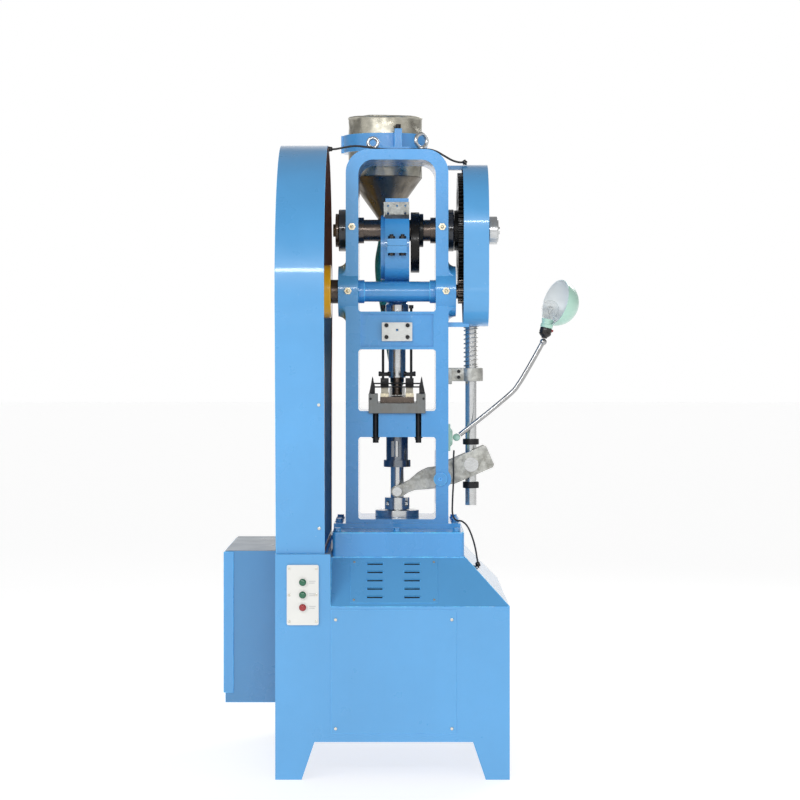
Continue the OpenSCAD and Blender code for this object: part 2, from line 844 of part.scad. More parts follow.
module flywheel_guard() {
  color(paint) difference() {
    along_x(wheel_guard_x0, wheel_guard_x1) intersection() {
      guard_outline(0);
      translate([-1000, column_top]) square([2000, 2000]);
    }
    along_x(wheel_guard_x0 + guard_wall, wheel_guard_x1 - guard_wall) guard_outline(guard_wall);
    along_x(wheel_guard_x1 - 2 * guard_wall, wheel_guard_x1 + 5)
      translate([drive_y, drive_z]) circle(wheel_guard_r - guard_rim, $fn = 96);
    block([wheel_guard_x1 - 2 * guard_wall, -guard_foot_front + 2 * guard_rim, column_top + 20],
      [wheel_guard_x1 + 5, guard_foot_back - 2 * guard_rim, drive_z - 200]);
  }
}

// Gear guard: a large drum over the crank gear and a small one round the pinion
module gear_guard_outline(inset) {
  translate([0, crank_z]) circle(gear_guard_r - inset, $fn = 96);
  translate([drive_y, drive_z]) circle(drum_r - inset, $fn = 96);
  polygon([
    [-gear_guard_r * cos(20) + inset, crank_z - gear_guard_r * sin(20)],
    [drive_y - drum_r * cos(10) + inset, drive_z - drum_r * sin(10)],
    [drive_y + drum_r * sin(40), drive_z - drum_r * cos(40) + inset],
    [gear_guard_r * cos(42), crank_z - gear_guard_r * sin(42) + inset]
  ]);
}

module gear_guard() {
  color(paint) difference() {
    union() {
      difference() {
        along_x(gear_guard_x0, gear_guard_x1) gear_guard_outline(0);
        along_x(gear_guard_x0 - 5, gear_guard_x1 - guard_wall) gear_guard_outline(guard_wall);
      }
      block([frame_half, drive_y - 45, drive_z - drum_r - 2],
        [gear_guard_x0 + 20, drive_y + 15, drive_z - drum_r + 14]);
      block([frame_half, -20, crank_z + gear_guard_r - 18],
        [gear_guard_x0 + 20, 20, crank_z + gear_guard_r - 3]);
    }
    xcyl(crank_r + 3, gear_guard_x1 - 20, gear_guard_x1 + 5, 0, crank_z);
    zcyl(lift_r + 3, drive_z - drum_r - 20, drive_z, lift_x, 0);
  }
}

guide_plate_half = 52;
guide_plate_z = guide_z + 28;
guide_plate_height = 64;
guide_plate_front = -frame_front - 6;

module guide_plate() {
  color(white) difference() {
    along_y(guide_plate_front, -frame_front + 8)
      rounded(-guide_plate_half, guide_plate_z, guide_plate_half,
        guide_plate_z + guide_plate_height, 3);
    ycyl(4.5, guide_plate_front - 5, -frame_front + 20, 0, guide_plate_z + 38);
  }
}

module socket_screws() {
  color(black) {
    for (x = [-36, 36], z = [guide_plate_z + 14, guide_plate_z + 54])
      translate([x, guide_plate_front, z]) rotate([90, 0, 0]) socket_head(7, 6);
    for (s = [-1, 1])
      translate([s * (frame_half + 12), -cap_r, crank_z]) rotate([90, 0, 0])
        socket_head(5, 5);
    translate([hopper_x + 47, hopper_y - clamp_r + 8, clamp_z + clamp_height + 14])
      socket_head(9, 16);
    for (z = [bracket_z + 14, bracket_z + 34])
      translate([frame_half + 38, -rod_bracket_half, z]) rotate([90, 0, 0]) socket_head(6, 6);
    for (x = [-table_half + 7, table_half - 7])
      translate([x, -table_front, table_top + 15]) rotate([90, 0, 0]) socket_head(4, 4);
    for (x = [-table_bolt_x, table_bolt_x], y = [-table_bolt_y, table_bolt_y]) {
      zcyl(9, beam_z - 4, beam_top, x, y);
      zcyl(14, beam_z - 4, beam_z, x, y);
      zcyl(10, beam_z - 20, beam_z - 4, x, y);
    }
  }
}

// Die table on the lower beam
table_half = 97;
table_front = 178;
table_back = 160;
die_r = punch_r + running_clearance;

table_lip = 8;
corner_block = 31;
corner_height = 32;
corner_depth = 112;

module die_table() {
  color(steel) difference() {
    union() {
      block([-table_half, -table_front, beam_top], [table_half, table_back, table_top]);
      block([-table_half, -table_front, beam_top - table_lip],
        [table_half, -frame_front - 0.4, beam_top]);
      for (x = [-table_half, table_half - corner_block])
        block([x, -table_front, table_top],
          [x + corner_block, corner_depth - table_front, table_top + corner_height]);
    }
    zcyl(rod_r + 6, beam_top - 5, table_top + 5);
  }
}

die_half = 58;
die_front = 130;
die_back = 210;

module die() {
  color(dark_steel) difference() {
    block([-die_half, -die_front, table_top], [die_half, die_back, die_top]);
    zcyl(die_r, table_top - 5, die_top + 5);
  }
}

// Brass guide rails on both sides of the feed shoe
shoe_half = 27;
rail_in = shoe_half + 2;
rail_width = 34;
rail_height = 12;

module feed_guides() {
  color(brass) for (s = [-1, 1]) scale([s, 1, 1])
    block([rail_in, -die_front + 12, die_top],
      [min(rail_in + rail_width, die_half - 1), die_back - 5, die_top + rail_height]);
}

finger_x = 86;
finger_y = -96;

module hold_downs() {
  color(black) for (s = [-1, 1]) scale([s, 1, 1]) {
    block([rail_in + 1, -85, die_top + rail_height], [rail_in + 26, -30, die_top + 36]);
    block([rail_in, -80, die_top + 36], [rail_in + 28, -36, die_top + 64]);
    zcyl(hold_rod_r, die_top + 64, guide_top + 20, hold_rod_x, hold_rod_y);
    zcyl(8, guide_top + 12, guide_top + 24, hold_rod_x, hold_rod_y);
    xcyl(5, 22, 62, hold_rod_y - 14, die_top + 76);
    ycyl(7, hold_rod_y - 18, hold_rod_y, hold_rod_x, die_top + 76);
    along_y(finger_y - 12, finger_y + 20) translate([finger_x, table_top + corner_height])
      polygon([[-10, 0], [10, 0], [4, 30], [-1, 58], [-4, 52], [-6, 38], [-10, 26]]);
    for (z = [die_top + 34, die_top + 46])
      xcyl(2.5, -1, finger_x, finger_y, z);
  }
}

// Feed shoe: a frame that carries granules from the hose to the die
shoe_front = 60;
shoe_back = 190;
shoe_height = 28;
shoe_window = 20;

module feed_shoe() {
  color(steel) difference() {
    block([-shoe_half, shoe_front, die_top + 0.3],
      [shoe_half, shoe_back, die_top + shoe_height]);
    zcyl(shoe_window, die_top - 5, die_top + shoe_height + 5, 0, hose_route[8][1]);
  }
}

// Flywheel and drive shaft; the hub reaches past the open side of the guard
wheel_rim = 46;
wheel_hub_r = 91;
wheel_hub_x1 = wheel_guard_x1 + 10;
module flywheel() {
  color([0.93, 0.7, 0.05]) translate([0, drive_y, drive_z]) difference() {
    union() {
      difference() {
        xcyl(flywheel_r, wheel_x0, wheel_x0 + wheel_width);
        xcyl(flywheel_r - wheel_rim, wheel_x0 - 5, wheel_x0 + 30);
        xcyl(flywheel_r - wheel_rim, wheel_x0 + wheel_width - 30, wheel_x0 + wheel_width + 5);
        belt_grooves(flywheel_r);
      }
      xcyl(wheel_hub_r, wheel_x0, wheel_hub_x1);
    }
    xcyl(drive_r, wheel_x0 - 5, wheel_hub_x1 + 5);
    for (k = [0 : 5]) rotate([k * 60, 0, 0])
      translate([0, 0, (flywheel_r + wheel_rim) / 2])
        xcyl(64, wheel_x0 - 5, wheel_x0 + wheel_width + 5);
  }
}

hub_gap = 2;

module drive_shaft() {
  color(dark_steel) translate([0, drive_y, drive_z]) {
    xcyl(drive_r, wheel_x0 - 8, gear_x0 + gear_width + 6);
    xcyl(41, wheel_hub_x1, -frame_half - boss_width - hub_gap);
    along_x(gear_x0, gear_x0 + gear_width)
      gear_outline(pinion_teeth, gear_module, mesh_angle + 180 + 180 / pinion_teeth);
  }
}

hub_x = gear_guard_x1 + 8;

module crankshaft() {
  color(dark_steel) translate([0, 0, crank_z]) {
    xcyl(crank_r, -frame_half - left_cap - 11, hub_x + 27);
    xcyl(58, -frame_half - left_cap - 11, -frame_half - left_cap - free_clearance);
    xcyl(22, -frame_half - left_cap - 20, -frame_half - left_cap - 11);
  }
}

module crank_gear() {
  color(black) translate([0, 0, crank_z]) difference() {
    union() {
      along_x(gear_x0, gear_x0 + gear_width)
        gear_outline(gear_teeth, gear_module, mesh_angle);
      xcyl(70, frame_half + right_cap + 2, gear_x0 + gear_width + 14);
    }
    xcyl(crank_r, frame_half, gear_x0 + gear_width + 30);
    for (k = [0 : 5]) rotate([k * 60 + 30, 0, 0])
      translate([0, 0, gear_r * 0.66]) xcyl(34, gear_x0 - 5, gear_x0 + gear_width + 5);
  }
}

cam_r = 105;
cam_offset = 42;
cam_x0 = 47;

module cam_disc() {
  color(black) translate([0, 0, crank_z]) difference() {
    union() {
      xcyl(cam_r, cam_x0, cam_x0 + 30, 0, -cam_offset);
      xcyl(58, cam_x0, cam_x0 + 44);
    }
    xcyl(crank_r, cam_x0 - 5, cam_x0 + 60);
  }
}

module end_hub() {
  color(steel) translate([0, 0, crank_z]) {
    difference() {
      xcyl(48.6, hub_x, hub_x + 27);
      xcyl(crank_r, hub_x - 5, hub_x + 30);
    }
    difference() {
      xcyl(40, hub_x + 27, hub_x + 31);
      xcyl(15, hub_x + 20, hub_x + 40);
    }
    xcyl(14, hub_x + 27, hub_x + 36);
  }
}

// Eccentric, drawn with a slot so that the crank turns clear while the ram slides
strap_half = 42;

module eccentric() {
  color(steel) translate([0, 0, eccentric_z]) difference() {
    xcyl(eccentric_r, -strap_half + 3, strap_half - 3);
    for (z = [-eccentricity, eccentricity])
      xcyl(crank_r + free_clearance, -strap_half - 5, strap_half + 5, 0, z);
    block([-strap_half - 5, -crank_r - free_clearance, -eccentricity],
      [strap_half + 5, crank_r + free_clearance, eccentricity]);
  }
}

lug_half = 33;
lug_height = 24;
lug_front = strap_r + 34;
stud_x = 19;
top_block_half = 40;
top_block_height = 168;

module strap_half_ring(s) {
  intersection() {
    difference() {
      union() {
        xcyl(strap_r, -strap_half, strap_half);
        block([-lug_half, -lug_front, -lug_height], [lug_half, lug_front, lug_height]);
      }
      xcyl(eccentric_r + running_clearance, -strap_half - 5, strap_half + 5);
    }
    block([-strap_half - 5, -lug_front - 5, s > 0 ? 0.5 : -strap_r - 5],
      [strap_half + 5, lug_front + 5, s > 0 ? strap_r + 5 : -0.5]);
  }
}

module strap_cap() {
  color(dark_steel) translate([0, 0, eccentric_z]) {
    difference() {
      union() {
        strap_half_ring(1);
        block([-top_block_half, -58, eccentric_r + 10], [top_block_half, 58, top_block_height]);
      }
      xcyl(eccentric_r, -strap_half - 5, strap_half + 5);
      for (s = [-1, 1], x = [-stud_x, stud_x])
        zcyl(7, -lug_height - 5, lug_height + 5, x, s * (strap_r + 18));
    }
    difference() {
      block([-46, -66, top_block_height - 65], [42, -58, top_block_height - 13]);
      for (x = [-31, 0, 28], z = [-52, -26])
        if (x != 0 || z == -26) ycyl(4, -70, -50, x, top_block_height + z);
    }
    difference() {
      xcyl(eccentric_r + 6, -56, -strap_half);
      xcyl(crank_r + 3, -60, -40, 0, eccentricity);
      xcyl(crank_r + 3, -60, -40, 0, -eccentricity);
      block([-60, -crank_r - 3, -eccentricity], [-40, crank_r + 3, eccentricity]);
    }
  }
}

module strap_studs() {
  color(steel) translate([0, 0, eccentric_z])
    for (s = [-1, 1], x = [-stud_x, stud_x]) translate([x, s * (strap_r + 18), 0]) {
      zcyl(7, -lug_height - 6, lug_height + 16);
      translate([0, 0, lug_height]) hex_head(12, 10);
      translate([0, 0, -lug_height - 9]) hex_head(12, 9);
    }
}

con_rod_r = 36;
ram_head_z = guide_top + 34;

module con_rod() {
  color(dark_steel) translate([0, 0, eccentric_z]) difference() {
    union() {
      strap_half_ring(-1);
      zcyl(con_rod_r, ram_head_z - eccentric_z, -strap_r + 12);
    }
    for (s = [-1, 1], x = [-stud_x, stud_x])
      zcyl(7, -lug_height - 5, lug_height + 5, x, s * (strap_r + 18));
  }
}

module ram() {
  color(steel) {
    zcyl(ram_r, ram_z, ram_head_z);
    difference() {
      rotate_extrude() polygon([
        [0, guide_top + 2], [40, guide_top + 2], [40, ram_head_z - 8], [34, ram_head_z],
        [0, ram_head_z]
      ]);
      zcyl(ram_r - 1, guide_top, ram_head_z - 2);
    }
  }
}

module upper_punch() {
  color(dark_steel) {
    zcyl(punch_r, upper_punch_z, ram_z);
    zcyl(punch_r + 6, ram_z - 16, ram_z);
  }
}

// Lower punch on its rod, lifted by the ejector lever
sleeve_z = beam_z - 84;
sleeve_nut = 24;
rod_foot = sill_top - 30;

module lower_punch() {
  color(steel) {
    zcyl(punch_r, beam_z + 12, die_top - fill_depth);
    difference() {
      zcyl(rod_r, rod_foot, beam_z + 12);
      ycyl(9, -rod_r - 5, rod_r + 5, 0, pivot_z - fork_drop);
    }
    ycyl(9, -cheek_in - cheek - 8, cheek_in + cheek + 8, 0, pivot_z - fork_drop);
    for (s = [-1, 1]) scale([1, s, 1])
      ycyl(16, cheek_in + cheek + 1, cheek_in + cheek + 8, 0, pivot_z - fork_drop);
  }
}

module punch_sleeve() {
  color(galvanised) difference() {
    union() {
      zcyl(sleeve_r, sleeve_z, beam_top - 10);
      zcyl(sleeve_r + 9, sleeve_z - sleeve_nut, sleeve_z);
    }
    zcyl(rod_r + running_clearance, sleeve_z - sleeve_nut - 5, beam_top);
    block([-20, -sleeve_r - 5, sleeve_z + 11], [6, -rod_r + 2, sleeve_z + 66]);
  }
}

nut_height = 41;
nut_z = sill_top + 25;
nut_r = 43.5;
capstan_r = 10;
capstan_depth = 6.5;
flange_height = 23;
spindle_r = 33;

module fill_flange() {
  color(steel) difference() {
    union() {
      zcyl(76, sill_top, sill_top + flange_height);
      zcyl(spindle_r, sill_top + flange_height, nut_z + nut_height - 3);
    }
    zcyl(rod_r + free_clearance, sill_top - 5, nut_z + nut_height + 5);
    for (k = [0 : 5]) rotate([0, 0, k * 60 + 30])
      zcyl(6, sill_top + flange_height - 8, sill_top + flange_height + 5, 60, 0);
  }
}

module fill_nut() {
  color(steel) difference() {
    zcyl(nut_r, nut_z, nut_z + nut_height);
    zcyl(spindle_r + running_clearance, nut_z - 5, nut_z + nut_height - 3 + free_clearance);
    zcyl(rod_r + free_clearance, nut_z - 5, nut_z + nut_height + 5);
    for (k = [0 : 3]) rotate([0, 0, k * 90 + 45])
      translate([0, 0, nut_z + nut_height / 2]) rotate([0, 90, 0])
        translate([0, 0, nut_r - capstan_depth]) cylinder(r = capstan_r, h = 20);
  }
}

// Ejector lever: two cheeks with a hub, slotted for the rods that they lift
arm_half = 41;
fork_half = 21;
arm_end = 190;
fork_reach = norm([pivot_x, fork_drop]);
block_reach = norm([lift_x - pivot_x, block_rise]);

module lever_cheek() {
  difference() {
    union() {
      translate([-pivot_x, -fork_drop]) {
        circle(fork_half);
        polygon([
          [0, fork_half], [17.3, 25.4], [42.1, 37.1], [72.2, 63], [89.4, 73], [107, 80.3],
          [pivot_x, 85], [pivot_x, 13], [107, 8.1], [62.2, 5.3], [37.3, -4.3], [18.3, -17],
          [0, -fork_half]
        ]);
      }
      rotate([0, 0, block_angle + 1]) polygon([
        [0, -30], [40, -arm_half], [arm_end - 8, -arm_half], [arm_end, -arm_half + 8],
        [arm_end, arm_half - 8], [arm_end - 8, arm_half], [40, arm_half], [0, 30]
      ]);
      circle(36);
    }
    rotate([0, 0, 180 + fork_angle]) translate([fork_reach - 9, 0])
      slot_2d(9 + free_clearance, 10);
    rotate([0, 0, block_angle]) translate([block_reach - 10, 0])
      slot_2d(10 + free_clearance, 11);
    circle(pivot_r + running_clearance);
  }
}

module eject_lever() {
  color(galvanised) translate([pivot_x, 0, pivot_z]) {
    for (y = [-cheek_in - cheek, cheek_in]) along_y(y, y + cheek) lever_cheek();
    difference() {
      ycyl(26, -cheek_in - 1, cheek_in + 1);
      ycyl(pivot_r + running_clearance, -cheek_in - 5, cheek_in + 5);
    }
    rotate([0, -block_angle - 1, 0])
      block([arm_end - 30, -cheek_in - 1, -arm_half + 12], [arm_end - 10, cheek_in + 1, arm_half - 12]);
  }
}

module lever_pivot() {
  color(paint_dark) {
    ycyl(pivot_r, -frame_front, frame_back, pivot_x, pivot_z);
    difference() {
      ycyl(23, -frame_front - 7, -frame_front, pivot_x, pivot_z);
      ycyl(5, -frame_front - 10, -frame_front - 3, pivot_x, pivot_z);
    }
  }
}

lift_foot = sill_top + 39;
lift_top = spring_z + spring_height + 66;
collar_r = lift_r + 8.5;

module lift_rod() {
  color(steel) difference() {
    zcyl(lift_r, lift_foot, lift_top, lift_x);
    ycyl(10, -lift_r - 5, lift_r + 5, lift_x, pivot_z + block_rise);
  }
  color(steel) {
    ycyl(10, -cheek_in - cheek - 8, cheek_in + cheek + 8, lift_x, pivot_z + block_rise);
    for (s = [-1, 1]) scale([1, s, 1])
      ycyl(25, cheek_in + cheek + 1, cheek_in + cheek + 8, lift_x, pivot_z + block_rise);
  }
}

module collar(z0, z1) {
  difference() {
    zcyl(collar_r, z0, z1, lift_x);
    zcyl(lift_r, z0 - 5, z1 + 5, lift_x);
  }
}

module lift_collars() {
  color(black) {
    collar(pivot_z - 39, pivot_z - 17);
    collar(pivot_z + 112, pivot_z + 132);
    collar(spring_z + spring_height, spring_z + spring_height + 12);
  }
}

rod_bracket_half = 34;

module rod_bracket() {
  color(galvanised) difference() {
    union() {
      bracket_arm();
      block([frame_half, -60, bracket_z - 10], [frame_half + 14, 60, bracket_z + 46]);
    }
    zcyl(lift_r + running_clearance, bracket_z - 20, bracket_z + 60, lift_x);
    block([frame_half + 20, -3, bracket_z - 20], [lift_x, 3, bracket_z + 60]);
  }
}

module bracket_arm() {
  block([frame_half, -rod_bracket_half, bracket_z], [lift_x, rod_bracket_half, bracket_z + 46]);
  zcyl(rod_bracket_half + 8, bracket_z, bracket_z + 46, lift_x);
}

spring_turns = 9.5;
spring_steps = 12;
spring_mean_r = lift_r + spring_wire + 1;

module return_spring() {
  color(steel) tube_along([
    for (i = [0 : spring_turns * spring_steps]) [
      lift_x + spring_mean_r * cos(360 * i / spring_steps),
      spring_mean_r * sin(360 * i / spring_steps),
      spring_z + spring_wire
        + (spring_height - 2 * spring_wire) * i / (spring_turns * spring_steps)
    ]
  ], spring_wire, 8, [0, 0, 1]);
}

// Work lamp on the right column
module lamp_base() {
  color(lamp_green) {
    block([frame_half, lamp_y - 38, lamp_base_z], [frame_half + 8, lamp_y + 38, beam_z + 42]);
    translate([frame_half + 8, lamp_y, lamp_ball[2]]) rotate([0, 90, 0])
      cylinder(r1 = 34, r2 = 24, h = 8);
    translate(lamp_ball) sphere(13);
  }
}

module lamp_arm() {
  color(steel) {
    tube_along([for (p = conduit_bends) lamp_ball + p], conduit_r, 12, [0, 1, 0]);
    translate(socket_foot) sphere(knuckle_r);
  }
}

module at_socket() {
  translate(socket_foot) rotate([0, socket_lean, 0]) children();
}

module lamp_socket() {
  color(black) at_socket() {
    zcyl(20, knuckle_r + 0.4, 52);
    zcyl(24, 20, 28);
    xcyl(5, 16, 27, 0, 40);
  }
}

// Frame of the bowl: its mouth looks along +Z of this frame
module at_bowl() {
  translate(bowl_centre) rotate([0, 90 - mouth_pitch, mouth_yaw]) children();
}

module lamp_shade() {
  color(lamp_green) difference() {
    union() {
      at_bowl() rotate_extrude($fn = 96) intersection() {
        difference() {
          circle(shade_r);
          circle(shade_r - 1.8);
        }
        translate([0, -shade_r]) square([shade_r, shade_r]);
      }
      at_socket() zcyl(16, 52, 72);
    }
    at_socket() zcyl(13.5, 45, 120);
  }
}

module lamp_bulb() {
  color([0.95, 0.95, 0.9]) at_socket() {
    zcyl(13, 52, 90);
    translate([0, 0, 116]) sphere(30);
  }
}

module cables() {
  color(black) {
    tube_along(smooth(lamp_lead, 4), 3, 8, [0, 1, 0]);
    tube_along(smooth(guard_lead, 3), 3.5, 8, [0, 1, 0]);
  }
}

base_cabinet();
base_panels();
panel_screws();
control_panel();
start_button();
jog_button();
stop_button();
motor_cover();
motor_door();
motor();
motor_pulley();
drive_belts();
pedestal();
hex_bolts();
main_frame();
shaft_tube();
bearing_bushes();
bearing_caps();
grease_nipples();
eyebolts();
hopper();
hopper_clamp();
feed_hose();
flywheel_guard();
gear_guard();
guide_plate();
socket_screws();
die_table();
die();
feed_guides();
hold_downs();
feed_shoe();
flywheel();
drive_shaft();
crankshaft();
crank_gear();
cam_disc();
end_hub();
eccentric();
strap_cap();
strap_studs();
con_rod();
ram();
upper_punch();
lower_punch();
punch_sleeve();
fill_flange();
fill_nut();
eject_lever();
lever_pivot();
lift_rod();
lift_collars();
rod_bracket();
return_spring();
lamp_base();
lamp_arm();
lamp_socket();
lamp_shade();
lamp_bulb();
cables();
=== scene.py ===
"""Looks for the tablet press: materials, bevelled castings and sheet metal, and small detail pieces."""

import json
import math
import random

import bmesh
import bpy
from mathutils import Matrix, Vector, noise as perlin


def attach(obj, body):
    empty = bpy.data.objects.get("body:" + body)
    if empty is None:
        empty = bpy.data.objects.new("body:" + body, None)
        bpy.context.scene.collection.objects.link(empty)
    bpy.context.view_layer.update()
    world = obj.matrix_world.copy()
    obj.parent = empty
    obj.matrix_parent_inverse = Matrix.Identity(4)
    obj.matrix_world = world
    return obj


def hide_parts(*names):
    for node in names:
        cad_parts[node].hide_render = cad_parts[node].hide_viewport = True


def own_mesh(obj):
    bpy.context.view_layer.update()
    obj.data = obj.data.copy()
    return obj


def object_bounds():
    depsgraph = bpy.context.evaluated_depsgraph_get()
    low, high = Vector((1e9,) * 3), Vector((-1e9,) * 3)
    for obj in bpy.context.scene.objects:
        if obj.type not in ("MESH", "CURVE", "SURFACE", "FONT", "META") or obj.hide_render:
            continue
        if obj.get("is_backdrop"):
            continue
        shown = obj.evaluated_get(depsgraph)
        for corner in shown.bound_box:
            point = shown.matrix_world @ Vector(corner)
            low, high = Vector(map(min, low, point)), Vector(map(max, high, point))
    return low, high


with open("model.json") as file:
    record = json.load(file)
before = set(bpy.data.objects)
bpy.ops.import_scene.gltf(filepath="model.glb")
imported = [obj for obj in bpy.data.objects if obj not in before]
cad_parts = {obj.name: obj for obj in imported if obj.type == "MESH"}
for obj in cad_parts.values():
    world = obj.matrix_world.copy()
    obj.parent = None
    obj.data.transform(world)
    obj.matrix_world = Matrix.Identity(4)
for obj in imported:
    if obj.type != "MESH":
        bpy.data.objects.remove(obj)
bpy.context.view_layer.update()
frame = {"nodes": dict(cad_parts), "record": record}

NODES = frame["nodes"]
BODY_OF = {n: b for b, ns in frame["record"]["behaviour"]["bodies"].items() for n in ns}
SLOT_OF = {s["node"]: s["material_slot"] for s in frame["record"]["subparts"]}
MM = 0.001
scene = bpy.context.scene

# ---------------------------------------------------------------- camera, floor and light

CAMERA_PLACE = (0.010, -8.520, 1.395)
CAMERA_LENS, CAMERA_SENSOR, CAMERA_SHIFT = 110.4, 36.0, -0.060
camera_data = bpy.data.cameras.new("camera")
camera_data.lens = CAMERA_LENS
camera_data.sensor_width = CAMERA_SENSOR
camera_data.shift_y = CAMERA_SHIFT
camera = bpy.data.objects.new("camera", camera_data)
camera.location = CAMERA_PLACE
camera.rotation_euler = (math.radians(90), 0, 0)
scene.collection.objects.link(camera)
scene.camera = camera
scene.view_settings.view_transform = "Standard"


def area_light(name, place, target, size, power):
    """A soft rectangular light that looks from a place at a target."""
    data = bpy.data.lights.new(name, "AREA")
    data.shape = "RECTANGLE"
    data.size, data.size_y = size
    data.energy = power
    light = bpy.data.objects.new(name, data)
    light.location = place
    light.rotation_euler = (Vector(target) - Vector(place)).to_track_quat("-Z", "Y").to_euler()
    scene.collection.objects.link(light)


def build_world():
    """White in front and right behind, dimmer overhead, and dark at the left and right,
    so that upright faces keep some contrast and bright metal gets dark edges."""
    world = bpy.data.worlds.new("studio")
    world.use_nodes = True
    tree = world.node_tree
    split = tree.nodes.new("ShaderNodeSeparateXYZ")
    tree.links.new(tree.nodes.new("ShaderNodeTexCoord").outputs["Generated"], split.inputs[0])

    def level(value, start, end, low, high):
        node = tree.nodes.new("ShaderNodeMapRange")
        tree.links.new(value, node.inputs["Value"])
        for key, number in (("From Min", start), ("From Max", end), ("To Min", low), ("To Max", high)):
            node.inputs[key].default_value = number
        return node.outputs[0]

    def math_node(operation, *values):
        node = tree.nodes.new("ShaderNodeMath")
        node.operation = operation
        for value, socket in zip(values, node.inputs):
            tree.links.new(value, socket)
        return node.outputs[0]

    wide = level(math_node("ABSOLUTE", split.outputs[0]), 0.35, 0.6, 0, 1)
    flanks = math_node("MULTIPLY", wide, level(split.outputs[1], -0.35, 0.0, 0, 1))
    strength = math_node("MULTIPLY", level(split.outputs[2], 0.22, 0.6, 1.0, 0.32),
                         level(flanks, 0, 1, 1.0, 0.3))
    tree.links.new(strength, tree.nodes["Background"].inputs["Strength"])
    tree.nodes["Background"].inputs["Color"].default_value = (1.0, 1.0, 1.0, 1)
    scene.world = world


FLOOR_RADIUS, FLOOR_GREY, FLOOR_GLOW = 60, 0.45, 0.74


def build_studio():
    """The world, three soft lights and a plain pale floor that glows a little."""
    build_world()
    area_light("key", (-3.4, -5.2, 4.4), (0, 0, 1.1), (2.4, 3.0), 90)
    area_light("strip", (0.0, -7.0, 3.4), (0, 0, 1.5), (5.0, 0.3), 105)
    area_light("rim", (2.5, 4.0, 4.2), (0, 0, 1.3), (2.6, 2.0), 90)
    bpy.ops.mesh.primitive_circle_add(vertices=96, radius=FLOOR_RADIUS, fill_type="NGON", location=(0, 0, 0))
    floor = bpy.context.object
    floor.name = "studio_floor"
    floor.data.materials.append(plain("floor", (FLOOR_GREY,) * 3, 0.6,
                                      Emission_Color=(1, 1, 1, 1), Emission_Strength=FLOOR_GLOW))
    floor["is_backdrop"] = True


# ---------------------------------------------------------------- material building blocks

class Graph:
    """A material with one Principled shader, and short calls for the nodes that feed it."""

    def __init__(self, name):
        self.material = bpy.data.materials.new(name)
        self.material.use_nodes = True
        self.tree = self.material.node_tree
        self.shader = self.tree.nodes["Principled BSDF"]
        self.coords = self.tree.nodes.new("ShaderNodeTexCoord").outputs["Object"]

    def link(self, value, socket):
        if isinstance(value, bpy.types.NodeSocket):
            self.tree.links.new(value, socket)
        else:
            socket.default_value = value

    def stretched(self, x, y, z):
        node = self.tree.nodes.new("ShaderNodeMapping")
        self.link(self.coords, node.inputs["Vector"])
        node.inputs["Scale"].default_value = (x, y, z)
        return node.outputs[0]

    def noise(self, scale, detail=2.0, rough=0.5, coords=None, distort=0.0):
        node = self.tree.nodes.new("ShaderNodeTexNoise")
        self.link(coords or self.coords, node.inputs["Vector"])
        node.inputs["Scale"].default_value = scale
        node.inputs["Detail"].default_value = detail
        node.inputs["Roughness"].default_value = rough
        node.inputs["Distortion"].default_value = distort
        return node.outputs[0]

    def cells(self, scale, coords=None):
        node = self.tree.nodes.new("ShaderNodeTexVoronoi")
        self.link(coords or self.coords, node.inputs["Vector"])
        node.inputs["Scale"].default_value = scale
        return node.outputs["Color"]

    def ramp(self, value, *stops):
        node = self.tree.nodes.new("ShaderNodeValToRGB")
        self.link(value, node.inputs[0])
        while len(node.color_ramp.elements) < len(stops):
            node.color_ramp.elements.new(0.5)
        for element, (place, colour) in zip(node.color_ramp.elements, stops):
            element.position = place
            shade = (colour,) * 3 if isinstance(colour, (int, float)) else colour
            element.color = (*shade, 1)
        return node.outputs[0]

    def span(self, value, low, high, start=0.3, end=0.7):
        node = self.tree.nodes.new("ShaderNodeMapRange")
        self.link(value, node.inputs["Value"])
        node.inputs["From Min"].default_value = start
        node.inputs["From Max"].default_value = end
        node.inputs["To Min"].default_value = low
        node.inputs["To Max"].default_value = high
        return node.outputs[0]

    def mix(self, fac, a, b):
        node = self.tree.nodes.new("ShaderNodeMix")
        node.data_type = "RGBA"
        self.link(fac, node.inputs[0])
        for value, socket in ((a, node.inputs[6]), (b, node.inputs[7])):
            self.link(value if isinstance(value, bpy.types.NodeSocket) else (*value, 1), socket)
        return node.outputs[2]

    def bump(self, height, distance, strength=1.0, normal=None):
        node = self.tree.nodes.new("ShaderNodeBump")
        self.link(height, node.inputs["Height"])
        node.inputs["Distance"].default_value = distance
        node.inputs["Strength"].default_value = strength
        if normal is not None:
            self.link(normal, node.inputs["Normal"])
        return node.outputs[0]

    def finish(self, colour, rough, normal=None, **constants):
        self.link(colour if isinstance(colour, bpy.types.NodeSocket) else (*colour, 1),
                  self.shader.inputs["Base Color"])
        self.link(rough, self.shader.inputs["Roughness"])
        if normal is not None:
            self.link(normal, self.shader.inputs["Normal"])
        for key, value in constants.items():
            self.shader.inputs[key.replace("_", " ")].default_value = value
        return self.material


def shade(colour, factor):
    return tuple(min(1.0, c * factor) for c in colour)


def plain(name, colour, rough, **constants):
    g = Graph(name)
    tone = g.mix(g.noise(3.0), shade(colour, 0.985), shade(colour, 1.01))
    return g.finish(tone, rough, **constants)


